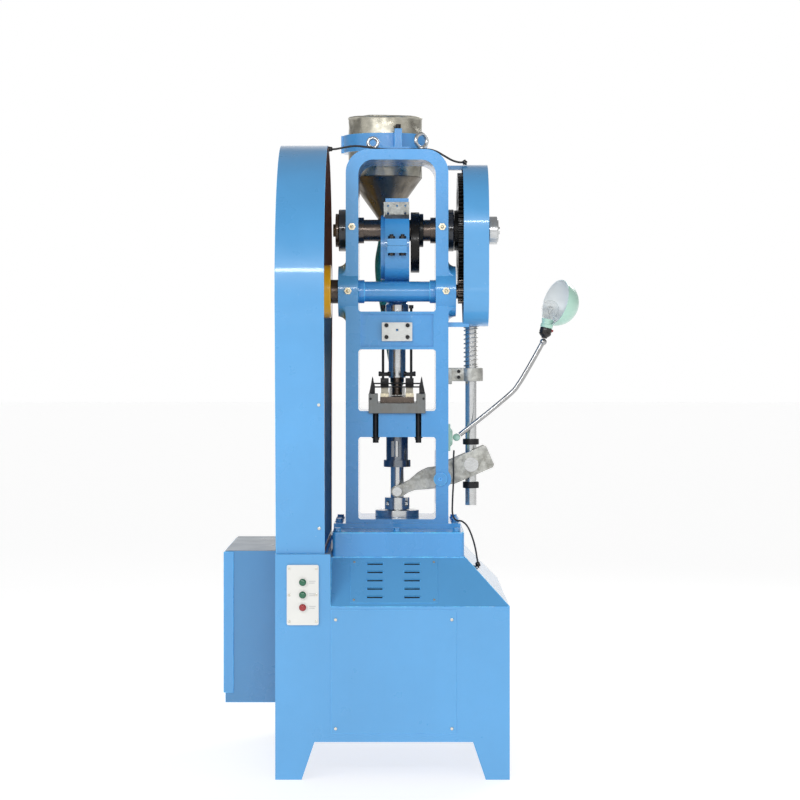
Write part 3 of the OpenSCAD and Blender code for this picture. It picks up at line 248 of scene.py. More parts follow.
def enamel(name, colour, wave=0.0, peel=0.00012, rough=(0.26, 0.38), grime=0.12, coat=0.8,
           chips=0.0):
    """Sprayed enamel: slow tone drift, faint runs of grime, orange peel, sheet waves and chips."""
    g = Graph(name)
    drift = g.mix(g.span(g.noise(1.7, 3.0), 0, 1), shade(colour, 0.88), shade(colour, 1.08))
    cloud = g.span(g.noise(7.0, 4.0, 0.6), 0, 1, 0.35, 0.7)
    drift = g.mix(g.span(cloud, 0, 0.35, 0, 1), drift, shade(colour, 0.86))
    runs = g.ramp(g.noise(9.0, 4.0, 0.6, g.stretched(1, 1, 0.12)), (0.45, 0.0), (0.9, 1.0))
    specks = g.ramp(g.noise(60.0, 3.0, 0.65), (0.62, 0.0), (0.8, 1.0))
    tone = g.mix(g.span(runs, 0, grime, 0, 1), drift, shade(colour, 0.6))
    tone = g.mix(g.span(specks, 0, grime * 0.7, 0, 1), tone, shade(colour, 0.65))
    if chips:
        nicks = g.ramp(g.noise(75.0, 5.0, 0.7), (0.70, 0.0), (0.72, 1.0))
        tone = g.mix(g.span(nicks, 0, chips, 0, 1), tone, (0.62, 0.74, 0.84))
    height = g.bump(g.noise(420.0, 1.0), peel, 0.5)
    if wave:
        height = g.bump(g.noise(2.6, 1.0), wave, 0.6, height)
    sheen = g.span(g.noise(12.0, 3.0), *rough)
    return g.finish(tone, sheen, height, Coat_Weight=coat, Coat_Roughness=0.07)


def chipped(name, colour, bare=(0.70, 0.80, 0.88), amount=0.5):
    """Enamel along an edge: lighter in patches as a painted highlight, with small chips down to primer and
    metal.
    """
    g = Graph(name)
    # Lighter patches, up to half again as bright: painted highlight on the rounded edge
    rubbed = g.mix(g.span(g.noise(30.0, 3.0), 0, 1, 0.35, 0.7), colour, shade(colour, 1.5))
    chips = g.ramp(g.noise(120.0, 4.0, 0.7), (0.56 + 0.1 * (1 - amount), 0.0), (0.63, 1.0))
    tone = g.mix(g.span(chips, 0, amount, 0, 1), rubbed, bare)
    return g.finish(tone, g.span(g.noise(60.0), 0.25, 0.45), g.bump(chips, 0.00015, 0.4),
                    Coat_Weight=0.3, Coat_Roughness=0.15)


def metal(name, colour, rough=(0.2, 0.34), grain=(90, 90, 500), scratch=0.000012, stain=0.25,
          dirt=(0.2, 0.17, 0.13), metallic=0.92):
    """Turned, ground or drawn metal: fine grain one way, soft stains, uneven polish."""
    g = Graph(name)
    lines = g.noise(1.0, 2.0, 0.5, g.stretched(*grain))
    tint = g.mix(g.span(lines, 0, 1), shade(colour, 0.9), shade(colour, 1.06))
    blotch = g.ramp(g.noise(22.0, 4.0, 0.6), (0.5, 0.0), (0.78, 1.0))
    tone = g.mix(g.span(blotch, 0, stain, 0, 1), tint, dirt)
    sheen = g.span(g.noise(35.0, 3.0), *rough)
    return g.finish(tone, sheen, g.bump(lines, scratch, 0.5), Metallic=metallic)


def galvanised(name, colour):
    """Hot-dip zinc: spangles a few millimetres across, dull and bright patches."""
    g = Graph(name)
    wobble = g.noise(60.0, 2.0, 0.5, None, 0.4)
    spangle = g.span(g.cells(75.0), 0, 1, 0, 1)
    coarse = g.span(g.noise(38.0, 5.0, 0.7, None, 1.2), 0, 1, 0.36, 0.64)
    tone = g.mix(spangle, shade(colour, 0.6), shade(colour, 1.25))
    tone = g.mix(g.span(coarse, 0, 0.6, 0, 1), tone, shade(colour, 1.5))
    tone = g.mix(g.span(g.noise(17.0, 5.0, 0.65), 0, 0.65, 0.48, 0.66), tone, (0.13, 0.125, 0.10))
    return g.finish(tone, g.span(wobble, 0.28, 0.5), g.bump(coarse, 0.0004, 0.6), Metallic=0.7)


def blackened(name, colour=(0.02, 0.02, 0.022), rough=(0.3, 0.5)):
    g = Graph(name)
    rubbed = g.ramp(g.noise(90.0, 4.0, 0.6), (0.58, 0.0), (0.75, 1.0))
    tone = g.mix(g.span(rubbed, 0, 0.4, 0, 1), colour, (0.16, 0.15, 0.14))
    return g.finish(tone, g.span(g.noise(50.0), *rough), g.bump(g.noise(300.0), 0.00005, 0.5),
                    Metallic=0.6)


def moulded(name, colour, rough=0.3, **constants):
    g = Graph(name)
    tone = g.mix(g.noise(25.0, 2.0), shade(colour, 0.9), shade(colour, 1.1))
    return g.finish(tone, g.span(g.noise(40.0), rough * 0.85, rough * 1.2),
                    g.bump(g.noise(500.0), 0.00003, 0.4), **constants)


def glass_material():
    g = Graph("bulb_glass")
    tone = g.mix(g.noise(20.0), (0.97, 0.97, 0.96), (1, 1, 1))
    return g.finish(tone, 0.02, Transmission_Weight=0.96, IOR=1.08)


SKY = (0.088, 0.360, 0.715)
DEEP = (0.058, 0.335, 0.745)
GREEN = (0.44, 0.69, 0.58)

MATERIAL = {
    "sheet_paint": enamel("sheet_enamel", SKY, wave=0.0006, chips=0.25),
    "cast_paint": enamel("casting_enamel", DEEP, peel=0.0004, rough=(0.2, 0.36), grime=0.25,
                         chips=0.6),
    "cap_paint": enamel("cap_enamel", (0.018, 0.035, 0.075), peel=0.0004, grime=0.4),
    "motor_paint": enamel("motor_enamel", (0.12, 0.16, 0.2), peel=0.0004),
    "panel_white": enamel("white_powder_coat", (0.80, 0.80, 0.77), grime=0.08, coat=0.1),
    "zinc_screws": metal("zinc_plate", (0.70, 0.68, 0.60), stain=0.2),
    "button_green": moulded("green_button", (0.004, 0.12, 0.055), 0.15, Coat_Weight=0.6),
    "button_red": moulded("red_button", (0.32, 0.012, 0.015), 0.15, Coat_Weight=0.6),
    "dark_steel": metal("oiled_steel", (0.13, 0.105, 0.09), rough=(0.18, 0.4), stain=0.5,
                        dirt=(0.025, 0.02, 0.017)),
    "greased_iron": blackened("greased_iron", (0.010, 0.010, 0.010), (0.15, 0.4)),
    "belt_rubber": moulded("belt_rubber", (0.02, 0.02, 0.02), 0.75),
    "black_oxide": blackened("black_oxide"),
    "brass": metal("pale_brass", (0.86, 0.78, 0.58), stain=0.2, metallic=0.55),
    "hopper_steel": metal("hopper_steel", (0.46, 0.44, 0.37), rough=(0.22, 0.42), stain=0.55,
                          grain=(50, 50, 260), dirt=(0.20, 0.17, 0.11)),
    "hose_teal": moulded("teal_hose", (0.01, 0.30, 0.29), 0.28),
    "plate_steel": metal("satin_plate", (0.62, 0.64, 0.63), rough=(0.35, 0.5), stain=0.12,
                         metallic=0.35),
    "ground_steel": metal("ground_steel", (0.62, 0.63, 0.63), rough=(0.16, 0.26), stain=0.14),
    "galvanised": galvanised("galvanised", (0.44, 0.44, 0.41)),
    "spring_steel": metal("spring_wire", (0.58, 0.57, 0.55)),
    "flywheel_yellow": enamel("flywheel_yellow", (0.88, 0.50, 0.005), peel=0.0004, grime=0.4),
    "conduit_steel": metal("bright_conduit", (0.40, 0.40, 0.40), rough=(0.12, 0.25), stain=0.3),
    "lamp_green": enamel("lamp_green", GREEN, grime=0.06, coat=0.5, peel=0.0002),
    "bakelite": moulded("bakelite", (0.015, 0.013, 0.012), 0.25),
    "cable_black": moulded("cable_sheath", (0.03, 0.03, 0.033), 0.55),
    "bulb_glass": glass_material(),
}
# Bevel faces take a lighter enamel: painted highlight along the edges, with chips of real wear
EDGE_WEAR_AND_HIGHLIGHT = {
    "sheet_paint": chipped("sheet_edge_highlight", shade(SKY, 1.12), amount=0.25),
    "cast_paint": chipped("casting_edge_highlight", shade(DEEP, 1.35), amount=0.55),
}
# The hopper's cone under the arch is a much darker copy of the hopper steel: painted shade, with stains
SHADED_CONE_STEEL = metal("cone_steel_painted_shade", (0.20, 0.18, 0.15), rough=(0.25, 0.45), stain=0.6,
                   grain=(120, 120, 30), dirt=(0.06, 0.045, 0.03))
BRIGHT_STEEL = metal("bright_steel", (0.72, 0.72, 0.70), rough=(0.12, 0.24), stain=0.12)
SLEEVE_STEEL = metal("sleeve_steel", (0.20, 0.22, 0.25), rough=(0.15, 0.3), stain=0.45)
TABLE_STEEL = metal("table_steel", (0.17, 0.18, 0.18), rough=(0.28, 0.42), stain=0.6,
                    grain=(400, 60, 60), dirt=(0.16, 0.14, 0.12), metallic=0.8)
WORN_STEEL = metal("worn_steel", (0.36, 0.34, 0.29), rough=(0.3, 0.45), stain=0.5)
MOTTLED = galvanised("mottled_plate", (0.26, 0.27, 0.26))
SHADE_WHITE = enamel("shade_white", (0.84, 0.86, 0.85), grime=0.05, coat=0.4, peel=0.0002)
# Weld beads take a lighter edge enamel: painted highlight on the beads, with chips
WELD = chipped("weld_highlight_paint", shade(SKY, 1.2), amount=0.4)
LEGEND = plain("legend_grey", (0.52, 0.53, 0.53), 0.5)
PRIMER = enamel("red_primer", (0.20, 0.055, 0.03), grime=0.5, coat=0.1)
# The motor cover is the sheet blue darkened to 0.72: painted shade on the cover
SHADED_COVER_BLUE = enamel("cover_enamel_painted_shade", shade(SKY, 0.72), grime=0.2)
# A greyer, duller enamel for the motor cover's top face
GREY_TOP = enamel("grey_top_enamel", (0.23, 0.29, 0.34), peel=0.0004, grime=0.3, coat=0.1)
SHADOW = plain("slot_shadow", (0.012, 0.014, 0.018), 0.8)

# ---------------------------------------------------------------- piece building blocks


def add_piece(name, mesh, body, slot, *materials):
    """Links a mesh as a piece that rides on a body, with the materials given, or else the slot's material.
    """
    piece = bpy.data.objects.new(name, mesh)
    scene.collection.objects.link(piece)
    for material in materials or (MATERIAL[slot],):
        mesh.materials.append(material)
    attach(piece, body)
    return piece


def smooth_by_angle(mesh, degrees):
    mesh.shade_smooth()
    mesh.set_sharp_from_angle(angle=math.radians(degrees))


def applied(piece):
    """Replaces the piece's mesh by the result of its modifiers."""
    graph = bpy.context.evaluated_depsgraph_get()
    baked = bpy.data.meshes.new_from_object(piece.evaluated_get(graph), preserve_all_data_layers=True,
                                            depsgraph=graph)
    piece.modifiers.clear()
    piece.data = baked


def cad_copy(node, flat=0.6):
    """A copy of a CAD node's mesh with its flat faces joined up."""
    mesh = NODES[node].data.copy()
    bm = bmesh.new()
    bm.from_mesh(mesh)
    bmesh.ops.remove_doubles(bm, verts=bm.verts, dist=1e-6)
    bmesh.ops.dissolve_limit(bm, angle_limit=math.radians(flat), use_dissolve_boundaries=False,
                             verts=bm.verts, edges=bm.edges)
    bm.to_mesh(mesh)
    bm.free()
    for name in [a.name for a in mesh.attributes if a.name.startswith("custom_normal")]:
        mesh.attributes.remove(mesh.attributes[name])
    mesh.materials.clear()
    return mesh


def bevelled(node, width, segments=2, angle=32, flat=0.6, base=None, zones=()):
    """A copy of a CAD node with rounded edges, which stands for the node.
    Each zone is a material and a test of a face's centre, in millimetres."""
    slot = SLOT_OF[node]
    main = base or MATERIAL[slot]
    rim = EDGE_WEAR_AND_HIGHLIGHT.get(slot) or main
    piece = add_piece(node + "_shell", cad_copy(node, flat), BODY_OF[node], slot, main, rim,
                      *[material for material, _ in zones])
    modifier = piece.modifiers.new("bevel", "BEVEL")
    modifier.width = width * MM
    modifier.segments = segments
    modifier.limit_method = "ANGLE"
    modifier.angle_limit = math.radians(angle)
    modifier.miter_outer = "MITER_ARC"
    # The bevel's faces take the edge enamel, which paints a highlight along the edges
    modifier.material = 1
    applied(piece)
    for number, (_, test) in enumerate(zones):
        for face in piece.data.polygons:
            if test(*(face.center / MM)):
                face.material_index = 2 + number
    smooth_by_angle(piece.data, 40)
    piece.modifiers.new("even", "WEIGHTED_NORMAL").keep_sharp = True
    applied(piece)
    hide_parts(node)
    return piece


def mesh_from(name, vertices, faces, tones=None, angle=40):
    """A smooth mesh from points in millimetres, with an optional material index for each face."""
    mesh = bpy.data.meshes.new(name)
    mesh.from_pydata([[c * MM for c in v] for v in vertices], [], faces)
    if tones:
        for face, tone in zip(mesh.polygons, tones):
            face.material_index = tone
    bm = bmesh.new()
    bm.from_mesh(mesh)
    bmesh.ops.recalc_face_normals(bm, faces=bm.faces)
    bm.to_mesh(mesh)
    bm.free()
    smooth_by_angle(mesh, angle)
    return mesh


def lathe(name, profile, place=Matrix(), sides=64, tones=None, warp=None, angle=40):
    """A closed profile of radius and height turned about Z, then placed. Tones go by profile edge."""
    count = len(profile)
    vertices, faces, face_tones = [], [], []
    for k in range(sides):
        turn = 2 * math.pi * k / sides
        for radius, height in profile:
            point = Vector((radius * math.cos(turn), radius * math.sin(turn), height))
            vertices.append(place @ (warp(point, turn) if warp else point))
    for k in range(sides):
        for i in range(count):
            a, b = k * count + i, k * count + (i + 1) % count
            c, d = (k + 1) % sides * count + i, (k + 1) % sides * count + (i + 1) % count
            if profile[i][0] == 0 and profile[(i + 1) % count][0] == 0:
                continue
            faces.append((a, b, d, c))
            face_tones.append(tones[i] if tones else 0)
    mesh = mesh_from(name, vertices, faces, face_tones, angle)
    bm = bmesh.new()
    bm.from_mesh(mesh)
    bmesh.ops.remove_doubles(bm, verts=bm.verts, dist=1e-7)
    bmesh.ops.dissolve_degenerate(bm, edges=bm.edges, dist=1e-8)
    bmesh.ops.recalc_face_normals(bm, faces=bm.faces)
    bm.to_mesh(mesh)
    bm.free()
    return mesh


def curve_through(route, steps):
    """Points of a smooth curve through a route, as the CAD draws its leads and hose."""
    p = [Vector(v) for v in route]
    points = []
    for i in range(len(p) - 1):
        a, b, c, d = p[max(i - 1, 0)], p[i], p[i + 1], p[min(i + 2, len(p) - 1)]
        for k in range(steps):
            t = k / steps
            points.append(0.5 * (2 * b + (c - a) * t + (2 * a - 5 * b + 4 * c - d) * t * t
                                 + (3 * b - a - 3 * c + d) * t ** 3))
    return points + [p[-1]]


def tube(name, points, radius, sides=16, swell=None):
    """A round tube along points, with flat ends and no twist."""
    points = [Vector(p) for p in points]
    ahead = [(points[min(i + 1, len(points) - 1)] - points[max(i - 1, 0)]).normalized()
             for i in range(len(points))]
    across = ahead[0].orthogonal().normalized()
    vertices, faces = [], []
    for i, (point, way) in enumerate(zip(points, ahead)):
        across = (across - way * across.dot(way)).normalized()
        lift = way.cross(across)
        r = radius * (swell(i) if swell else 1)
        for j in range(sides):
            turn = 2 * math.pi * j / sides
            vertices.append(point + (across * math.cos(turn) + lift * math.sin(turn)) * r)
    for i in range(len(points) - 1):
        for j in range(sides):
            a, b = i * sides + j, i * sides + (j + 1) % sides
            faces.append((a, b, b + sides, a + sides))
    faces.append(tuple(range(sides)))
    faces.append(tuple(range(len(vertices) - sides, len(vertices))))
    return mesh_from(name, vertices, faces, angle=50)


def weld(name, ends, radius, body, slot, seed, material=None):
    """A wavy weld bead between points."""
    dice = random.Random(seed)
    points = []
    for a, b in zip(ends, ends[1:]):
        a, b = Vector(a), Vector(b)
        count = max(2, int((b - a).length / 5))
        points += [a.lerp(b, k / count) for k in range(count)]
    points.append(Vector(ends[-1]))
    scale = [0.75 + 0.5 * dice.random() for _ in points]
    return add_piece(name, tube(name, points, radius, 8, lambda i: scale[i]), body, slot,
                     material or WELD)


def facing(place, direction):
    """A frame at a point whose Z axis looks along a direction."""
    turn = Vector(direction).to_track_quat("Z", "Y").to_matrix().to_4x4()
    return Matrix.Translation(Vector(place)) @ turn


build_studio()

for node, part in NODES.items():
    part.data.materials.clear()
    part.data.materials.append(MATERIAL[SLOT_OF[node]])

# ---------------------------------------------------------------- castings, sheet metal and turned pieces

BEVELS = {
    "base_panels": 0.8, "motor_door": 2.0, "pedestal": 6.0, "main_frame": 9.0,
    "shaft_tube": 1.5, "bearing_caps": 3.0, "hopper_clamp": 3.5,
    "gear_guard": 2.5, "die": 1.2, "feed_guides": 0.6, "feed_shoe": 1.0, "eject_lever": 3.0,
    "rod_bracket": 2.0, "con_rod": 3.0, "ram": 1.0, "lower_punch": 1.2, "fill_flange": 1.5,
    "fill_nut": 2.5, "lift_rod": 2.0, "lift_collars": 2.0, "hex_bolts": 1.2, "end_hub": 1.5,
    "lamp_base": 2.5, "panel_screws": 1.0, "lever_pivot": 1.5, "flywheel": 3.0, "crankshaft": 1.5,
    "cam_disc": 2.0, "eccentric": 1.0, "socket_screws": 0.6,
    "upper_punch": 0.8, "motor": 1.5, "bearing_bushes": 1.0, "grease_nipples": 0.6,
    "drive_shaft": 0.8, "motor_pulley": 1.0,
}
for node, width in BEVELS.items():
    bevelled(node, width, 3 if width >= 2 else 2)

bevelled("base_cabinet", 2.0, 2, flat=0.05)
bevelled("control_panel", 1.5, 3)
# The cover's darker blue is painted shade
bevelled("motor_cover", 2.0, 3, base=SHADED_COVER_BLUE, zones=[(GREY_TOP, lambda x, y, z: z > 728.5)])
bevelled("strap_studs", 0.8, 2, base=MATERIAL["black_oxide"])


# The wheel guard's round top and straight foot, in millimetres, and how far in a face has to lie
DRIVE_Y, DRIVE_Z = -90, 1602.627
GUARD_R, GUARD_MIDDLE, GUARD_STRAIGHT = 500, 1602.6, 745
GUARD_LEFT, GUARD_RIGHT, INSIDE_BY = -356.5, -200, 1.5


def inside_wheel_guard(x, y, z):
    """Faces of the guard's inner side, which has primer only."""
    low = max(0.0, GUARD_MIDDLE - z) / GUARD_STRAIGHT
    front, back = -500 - 6 * low, 410 - 80 * low
    if low == 0:
        between = math.hypot(y - DRIVE_Y, z - GUARD_MIDDLE) < GUARD_R - INSIDE_BY
    else:
        between = front + INSIDE_BY < y < back - INSIDE_BY
    return GUARD_LEFT < x < GUARD_RIGHT and between


bevelled("flywheel_guard", 2.0, 2, zones=[(PRIMER, inside_wheel_guard)])
bevelled("guide_plate", 1.2, 3)
bevelled("punch_sleeve", 1.5, 2, base=SLEEVE_STEEL)
bevelled("die_table", 1.6, 3, base=TABLE_STEEL)
bevelled("hold_downs", 0.9, 2, zones=[
    (WORN_STEEL, lambda x, y, z: 28 < abs(x) < 54 and -90 < y < -25 and 1253 < z < 1269)])
bevelled("strap_cap", 3.0, 3, zones=[
    (MOTTLED, lambda x, y, z: y < -58.5 and 1855 < z < 1915 and abs(x) < 47)])

# ---------------------------------------------------------------- hopper

HOPPER_X, HOPPER_Y = -43, 300
HOPPER_SIDES = 144


def hopper_warp(point, turn):
    """Dents in the hopper's wall, kept off where the clamp and the outlet hold it."""
    free = min(1.0, max(0.0, (point.z - 2176) / 20)) if point.z > 2090 else \
        min(1.0, max(0.0, (2098 - point.z) / 20)) * min(1.0, max(0.0, (point.z - 1885) / 40))
    spot = Vector((math.cos(turn) * 2.2, math.sin(turn) * 2.2, point.z / 70))
    dent = perlin.noise(spot) + 0.5 * perlin.noise(spot * 2.3)
    push = -5.5 * free * max(0.0, dent)
    reach = math.hypot(point.x, point.y)
    point = Vector((point.x * (reach + push) / reach, point.y * (reach + push) / reach, point.z))
    if point.z > 2225:
        point.z -= 1.5 + 2.0 * perlin.noise(Vector((math.cos(turn) * 3, math.sin(turn) * 3, 0.4)))
    return point


outer = [(27, 1844), (27, 1874)]
outer += [(27 + 105 * k / 12, 1874 + 146 * k / 12) for k in range(1, 12)]
outer += [(131.7, 2018.5), (132, 2022)] + [(132, 2022 + 208 * k / 26) for k in range(1, 27)]
roll = [(131 + 3 * math.cos(a), 2234 + 3 * math.sin(a))
        for a in (math.radians(t) for t in range(-60, 200, 20))]
inner = [(130, z) for z in range(2228, 2024, -8)] + [(129.6, 2021)]
inner += [(25.2 + 104 * k / 12, 1875 + 145 * k / 12) for k in range(11, -1, -1)] + [(25.2, 1844)]
profile = outer + roll + inner
# Tone 1, the cone's outer faces, takes the darker steel that paints the arch's shade
tones = [1 if r < 131.8 and k < len(outer) else 0 for k, (r, z) in enumerate(profile)]
hopper_mesh = lathe("hopper_wall", profile, Matrix.Translation((HOPPER_X, HOPPER_Y, 0)), HOPPER_SIDES,
                    tones, hopper_warp, 30)
hopper = add_piece("hopper_wall", hopper_mesh, "press", "hopper_steel", MATERIAL["hopper_steel"],
                   SHADED_CONE_STEEL)
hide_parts("hopper")
weld("hopper_seam", [(HOPPER_X + 128, HOPPER_Y - 34, z) for z in (2024, 2106)], 1.0, "press",
     "hopper_steel", 3, MATERIAL["hopper_steel"])

# ---------------------------------------------------------------- hose, leads, conduit, spring

HOSE = [(-43, 300, 1862), (-47, 300, 1790), (-58, 296, 1720), (-54, 284, 1640), (-40, 262, 1560),
        (-26, 236, 1470), (-14, 206, 1390), (-3, 160, 1325), (0, 136, 1280)]
hose = add_piece("hose_tube", tube("hose_tube", curve_through(HOSE, 8), 22, 32), "press", "hose_teal")
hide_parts("feed_hose")

LAMP_LEAD = [(196, -60, 1056), (194, -68, 1016), (194, -88, 960), (190, -112, 885),
             (190, -132, 840), (202, -148, 821), (222, -164, 818), (243, -184, 796),
             (263, -204, 740), (276, -216, 664)]
GUARD_LEAD = [(-236, -70, 2094), (-212, -70, 2094), (-150, -72, 2104), (-100, -74, 2100),
              (-40, -75, 2092), (40, -75, 2092), (100, -74, 2093), (134, -72, 2086),
              (164, -66, 2070), (190, -60, 2056), (212, -54, 2050), (228, -50, 2049),
              (240, -50, 2042)]
lead = add_piece("lamp_lead", tube("lamp_lead", curve_through(LAMP_LEAD, 8), 3, 14), "press",
                 "cable_black")
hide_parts("cables")
lead = add_piece("guard_lead", tube("guard_lead", curve_through(GUARD_LEAD, 6), 3.5, 14), "press",
                 "cable_black")
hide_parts("cables")


def gland(name, place, direction, slot="bakelite"):
    """A cable gland: a domed nut round the lead where it enters the sheet."""
    profile = [(3.6, 0), (9, 0), (9, 4), (8, 5), (8, 10), (6.5, 13), (3.6, 14)]
    add_piece(name, lathe(name, profile, facing(place, direction), 24), "press", slot)


gland("gland_base", (274.5, -215, 671), (-0.25, -0.2, 1))
gland("gland_guard", (-236, -70, 2094), (1, 0, 0))
gland("gland_gears", (237, -50, 2045.5), (-0.75, 0, 1))

KNUCKLE = (504, -60, 1430)
BENDS = [(216, -60, 1110), (300, -60, 1175), (393, -60, 1253), (420, -60, 1286), (443, -60, 1323),
         (474, -60, 1377), (503, -60, 1430)]
arm = add_piece("conduit_tube", tube("conduit_tube", curve_through(BENDS, 10), 8.5, 28), "lamp_arm",
                "conduit_steel")
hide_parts("lamp_arm")
ball = [(12 * math.cos(a), 12 * math.sin(a)) for a in (math.radians(t) for t in range(-90, 91, 10))]
ball[0], ball[-1] = (0, -12), (0, 12)
add_piece("conduit_knuckle", lathe("conduit_knuckle", ball, Matrix.Translation(KNUCKLE), 32),
          "lamp_arm", "conduit_steel")

LIFT_X, SPRING_R, SPRING_FOOT, SPRING_HEIGHT = 256, 23, 1344.6, 134.8
turns, steps_per_turn = 9.5, 28
points = []
for k in range(int(turns * steps_per_turn) + 1):
    share = k / (turns * steps_per_turn)
    flat = min(1.0, max(0.0, (share - 0.05) / 0.9))
    spin = 2 * math.pi * turns * share
    rise = SPRING_HEIGHT * (0.3 * share + 0.7 * flat)
    points.append((LIFT_X + SPRING_R * math.cos(spin), SPRING_R * math.sin(spin), SPRING_FOOT + rise))
spring = add_piece("spring_coil", tube("spring_coil", points, 2.5, 14), "press", "spring_steel")
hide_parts("return_spring")
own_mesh(spring)

# ---------------------------------------------------------------- work lamp

SOCKET = Matrix.Translation(KNUCKLE) @ Matrix.Rotation(math.radians(12), 4, "Y")
BOWL = (Matrix.Translation((546, -62, 1566)) @ Matrix.Rotation(math.radians(208), 4, "Z")
        @ Matrix.Rotation(math.radians(74), 4, "Y"))


def arc(radius, start, end, steps, centre=(0, 0)):
    """Points of a circular arc between two angles in degrees."""
    return [(centre[0] + radius * math.cos(math.radians(start + (end - start) * k / steps)),
             centre[1] + radius * math.sin(math.radians(start + (end - start) * k / steps)))
            for k in range(steps + 1)]


def bowl_mesh():
    """The lamp's bowl: green outside, white inside, open where the neck goes in."""
    outside = arc(81, -90, -1, 40)
    inside = arc(79.4, -1, -90, 40)
    outside[0], inside[-1] = (0, -81), (0, -79.4)
    rim = arc(1.3, 10, 170, 6, (80.2, -0.6))
    profile = outside + rim + inside
    tones = [0] * (len(outside) + 3) + [1] * (len(rim) - 3 + len(inside))
    mesh = lathe("bowl", profile, BOWL, 96, tones, None, 50)
    axis, foot = SOCKET.to_3x3() @ Vector((0, 0, 1)), SOCKET.translation
    bm = bmesh.new()
    bm.from_mesh(mesh)
    near = []
    for face in bm.faces:
        away = face.calc_center_median() / MM - foot
        along = away.dot(axis)
        if 45 < along < 120 and (away - axis * along).length < 15:
            near.append(face)
    bmesh.ops.delete(bm, geom=near, context="FACES")
    bm.to_mesh(mesh)
    bm.free()
    return mesh


bowl = add_piece("lamp_bowl", bowl_mesh(), "lamp_head", "lamp_green", MATERIAL["lamp_green"], SHADE_WHITE)
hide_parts("lamp_shade")
neck = [(16.2, 50), (20.5, 50), (21.5, 52), (21.5, 60), (19.5, 63), (19, 68), (21, 74), (22, 80),
        (20.2, 80), (18, 74), (16.2, 68)]
add_piece("lamp_neck", lathe("lamp_neck", neck, SOCKET, 48, None, None, 30), "lamp_head", "lamp_green")

body = [(0, 12.6), (9, 12.6), (10, 14), (10.5, 17), (16, 21), (19.5, 25), (21.5, 29), (21.5, 31),
        (20.2, 32), (20.2, 34), (21.5, 35), (21.5, 38), (20.6, 39), (20.6, 47), (19.5, 50),
        (18, 51.6), (0, 51.6)]
socket = add_piece("socket_body", lathe("socket_body", body, SOCKET, 48, None, None, 35), "lamp_head",
                   "bakelite")
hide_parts("lamp_socket")
knob = [(0, 0), (4.2, 0), (4.2, 5), (3.4, 6.4), (0, 7)]
add_piece("socket_switch", lathe("socket_switch", knob, SOCKET @ facing((19.5, 0, 43), (1, 0, 0)), 20),
          "lamp_head", "bakelite", MATERIAL["button_red"])

glass = [(12.6, 70), (13.4, 76), (15.5, 82), (20, 90), (24.6, 97.5)]
glass += arc(30, -32, 90, 22, (0, 116))[1:]
glass[-1] = (0, 146)
glass += [(0, 145.4)] + arc(29.4, 90, -32, 22, (0, 116))[1:]
glass += [(24.1, 98), (19.4, 90.4), (14.9, 82.4), (12.8, 76.2), (12.0, 70)]
bulb = add_piece("bulb_glass", lathe("bulb_glass", glass, SOCKET, 48, None, None, 60), "lamp_head",
                 "bulb_glass")
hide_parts("lamp_bulb")
base = [(0, 52.5), (10.5, 52.5)]
for k in range(5):
    base += [(12.6, 54 + k * 3.2), (11.8, 55.6 + k * 3.2)]
base += [(12.4, 71), (0, 71)]
add_piece("bulb_cap", lathe("bulb_cap", base, SOCKET, 36, None, None, 30), "lamp_head", "bulb_glass",
          BRIGHT_STEEL)
stem = [(0, 71), (5, 71), (4, 82), (2.4, 94), (3.6, 99), (0, 101)]
add_piece("bulb_stem", lathe("bulb_stem", stem, SOCKET, 20), "lamp_head", "bulb_glass")
zigzag = [(-9, 0, 118), (-6, 3, 124), (-3, 0, 119), (0, 3, 125), (3, 0, 119), (6, 3, 124), (9, 0, 118)]
wire = [(-1.5, 0, 98), (-5, 0, 108)] + zigzag + [(5, 0, 108), (1.5, 0, 98)]
filament = tube("bulb_filament_0", [SOCKET @ Vector(p) for p in curve_through(wire, 3)], 0.45, 8)
add_piece("bulb_filament_0", filament, "lamp_head", "bulb_glass", MATERIAL["dark_steel"])

# ---------------------------------------------------------------- buttons and small fittings

CONTROL_FRONT, BUTTON_X, BUTTON_MID, BUTTON_PITCH = -528, -307, 604, 41
cap = [(0, 13), (4, 12.9), (7.6, 12.2), (10, 10.8), (11.3, 8.6), (11.4, 6), (11.4, -1.8), (0, -1.8)]
ring = [(11.8, 5), (12, 6), (12.6, 6.2), (13, 5.6), (13.2, 2.5), (13.4, 0.1), (11.8, 0.1)]
for name, step in (("start_button", 1), ("jog_button", 0), ("stop_button", -1)):
    place = facing((BUTTON_X, CONTROL_FRONT, BUTTON_MID + step * BUTTON_PITCH), (0, -1, 0))
    button = add_piece(name + "_cap", lathe(name + "_cap", cap, place, 40), name, SLOT_OF[name])
    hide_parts(name)
    add_piece(name + "_bezel", lathe(name + "_bezel", ring, place, 40), "press", "panel_white",
              MATERIAL["black_oxide"])


def plate(name, low, high, edge, body, slot, material=None):
    """A thin plate with rounded edges."""
    mesh = bpy.data.meshes.new(name)
    bm = bmesh.new()
    bmesh.ops.create_cube(bm, size=1)
    middle = [(a + b) / 2 * MM for a, b in zip(low, high)]
    size = [(b - a) * MM for a, b in zip(low, high)]
    for vertex in bm.verts:
        vertex.co = Vector(m + c * s for m, c, s in zip(middle, vertex.co, size))
    bmesh.ops.bevel(bm, geom=bm.edges[:], offset=edge * MM, segments=2, affect="EDGES", profile=0.5)
    bm.to_mesh(mesh)
    bm.free()
    smooth_by_angle(mesh, 40)
    return add_piece(name, mesh, body, slot, material or MATERIAL[slot])


for step in (1, 0, -1):
    for row in (0, 1):
        z = BUTTON_MID + step * BUTTON_PITCH - 4 + 6 * row
        plate("legend_%d_%d" % (step + 1, row), (-286, CONTROL_FRONT - 0.6, z),
              (-268 + 3 * row, CONTROL_FRONT + 0.2, z + 2.4), 0.2, "press", "panel_white", LEGEND)

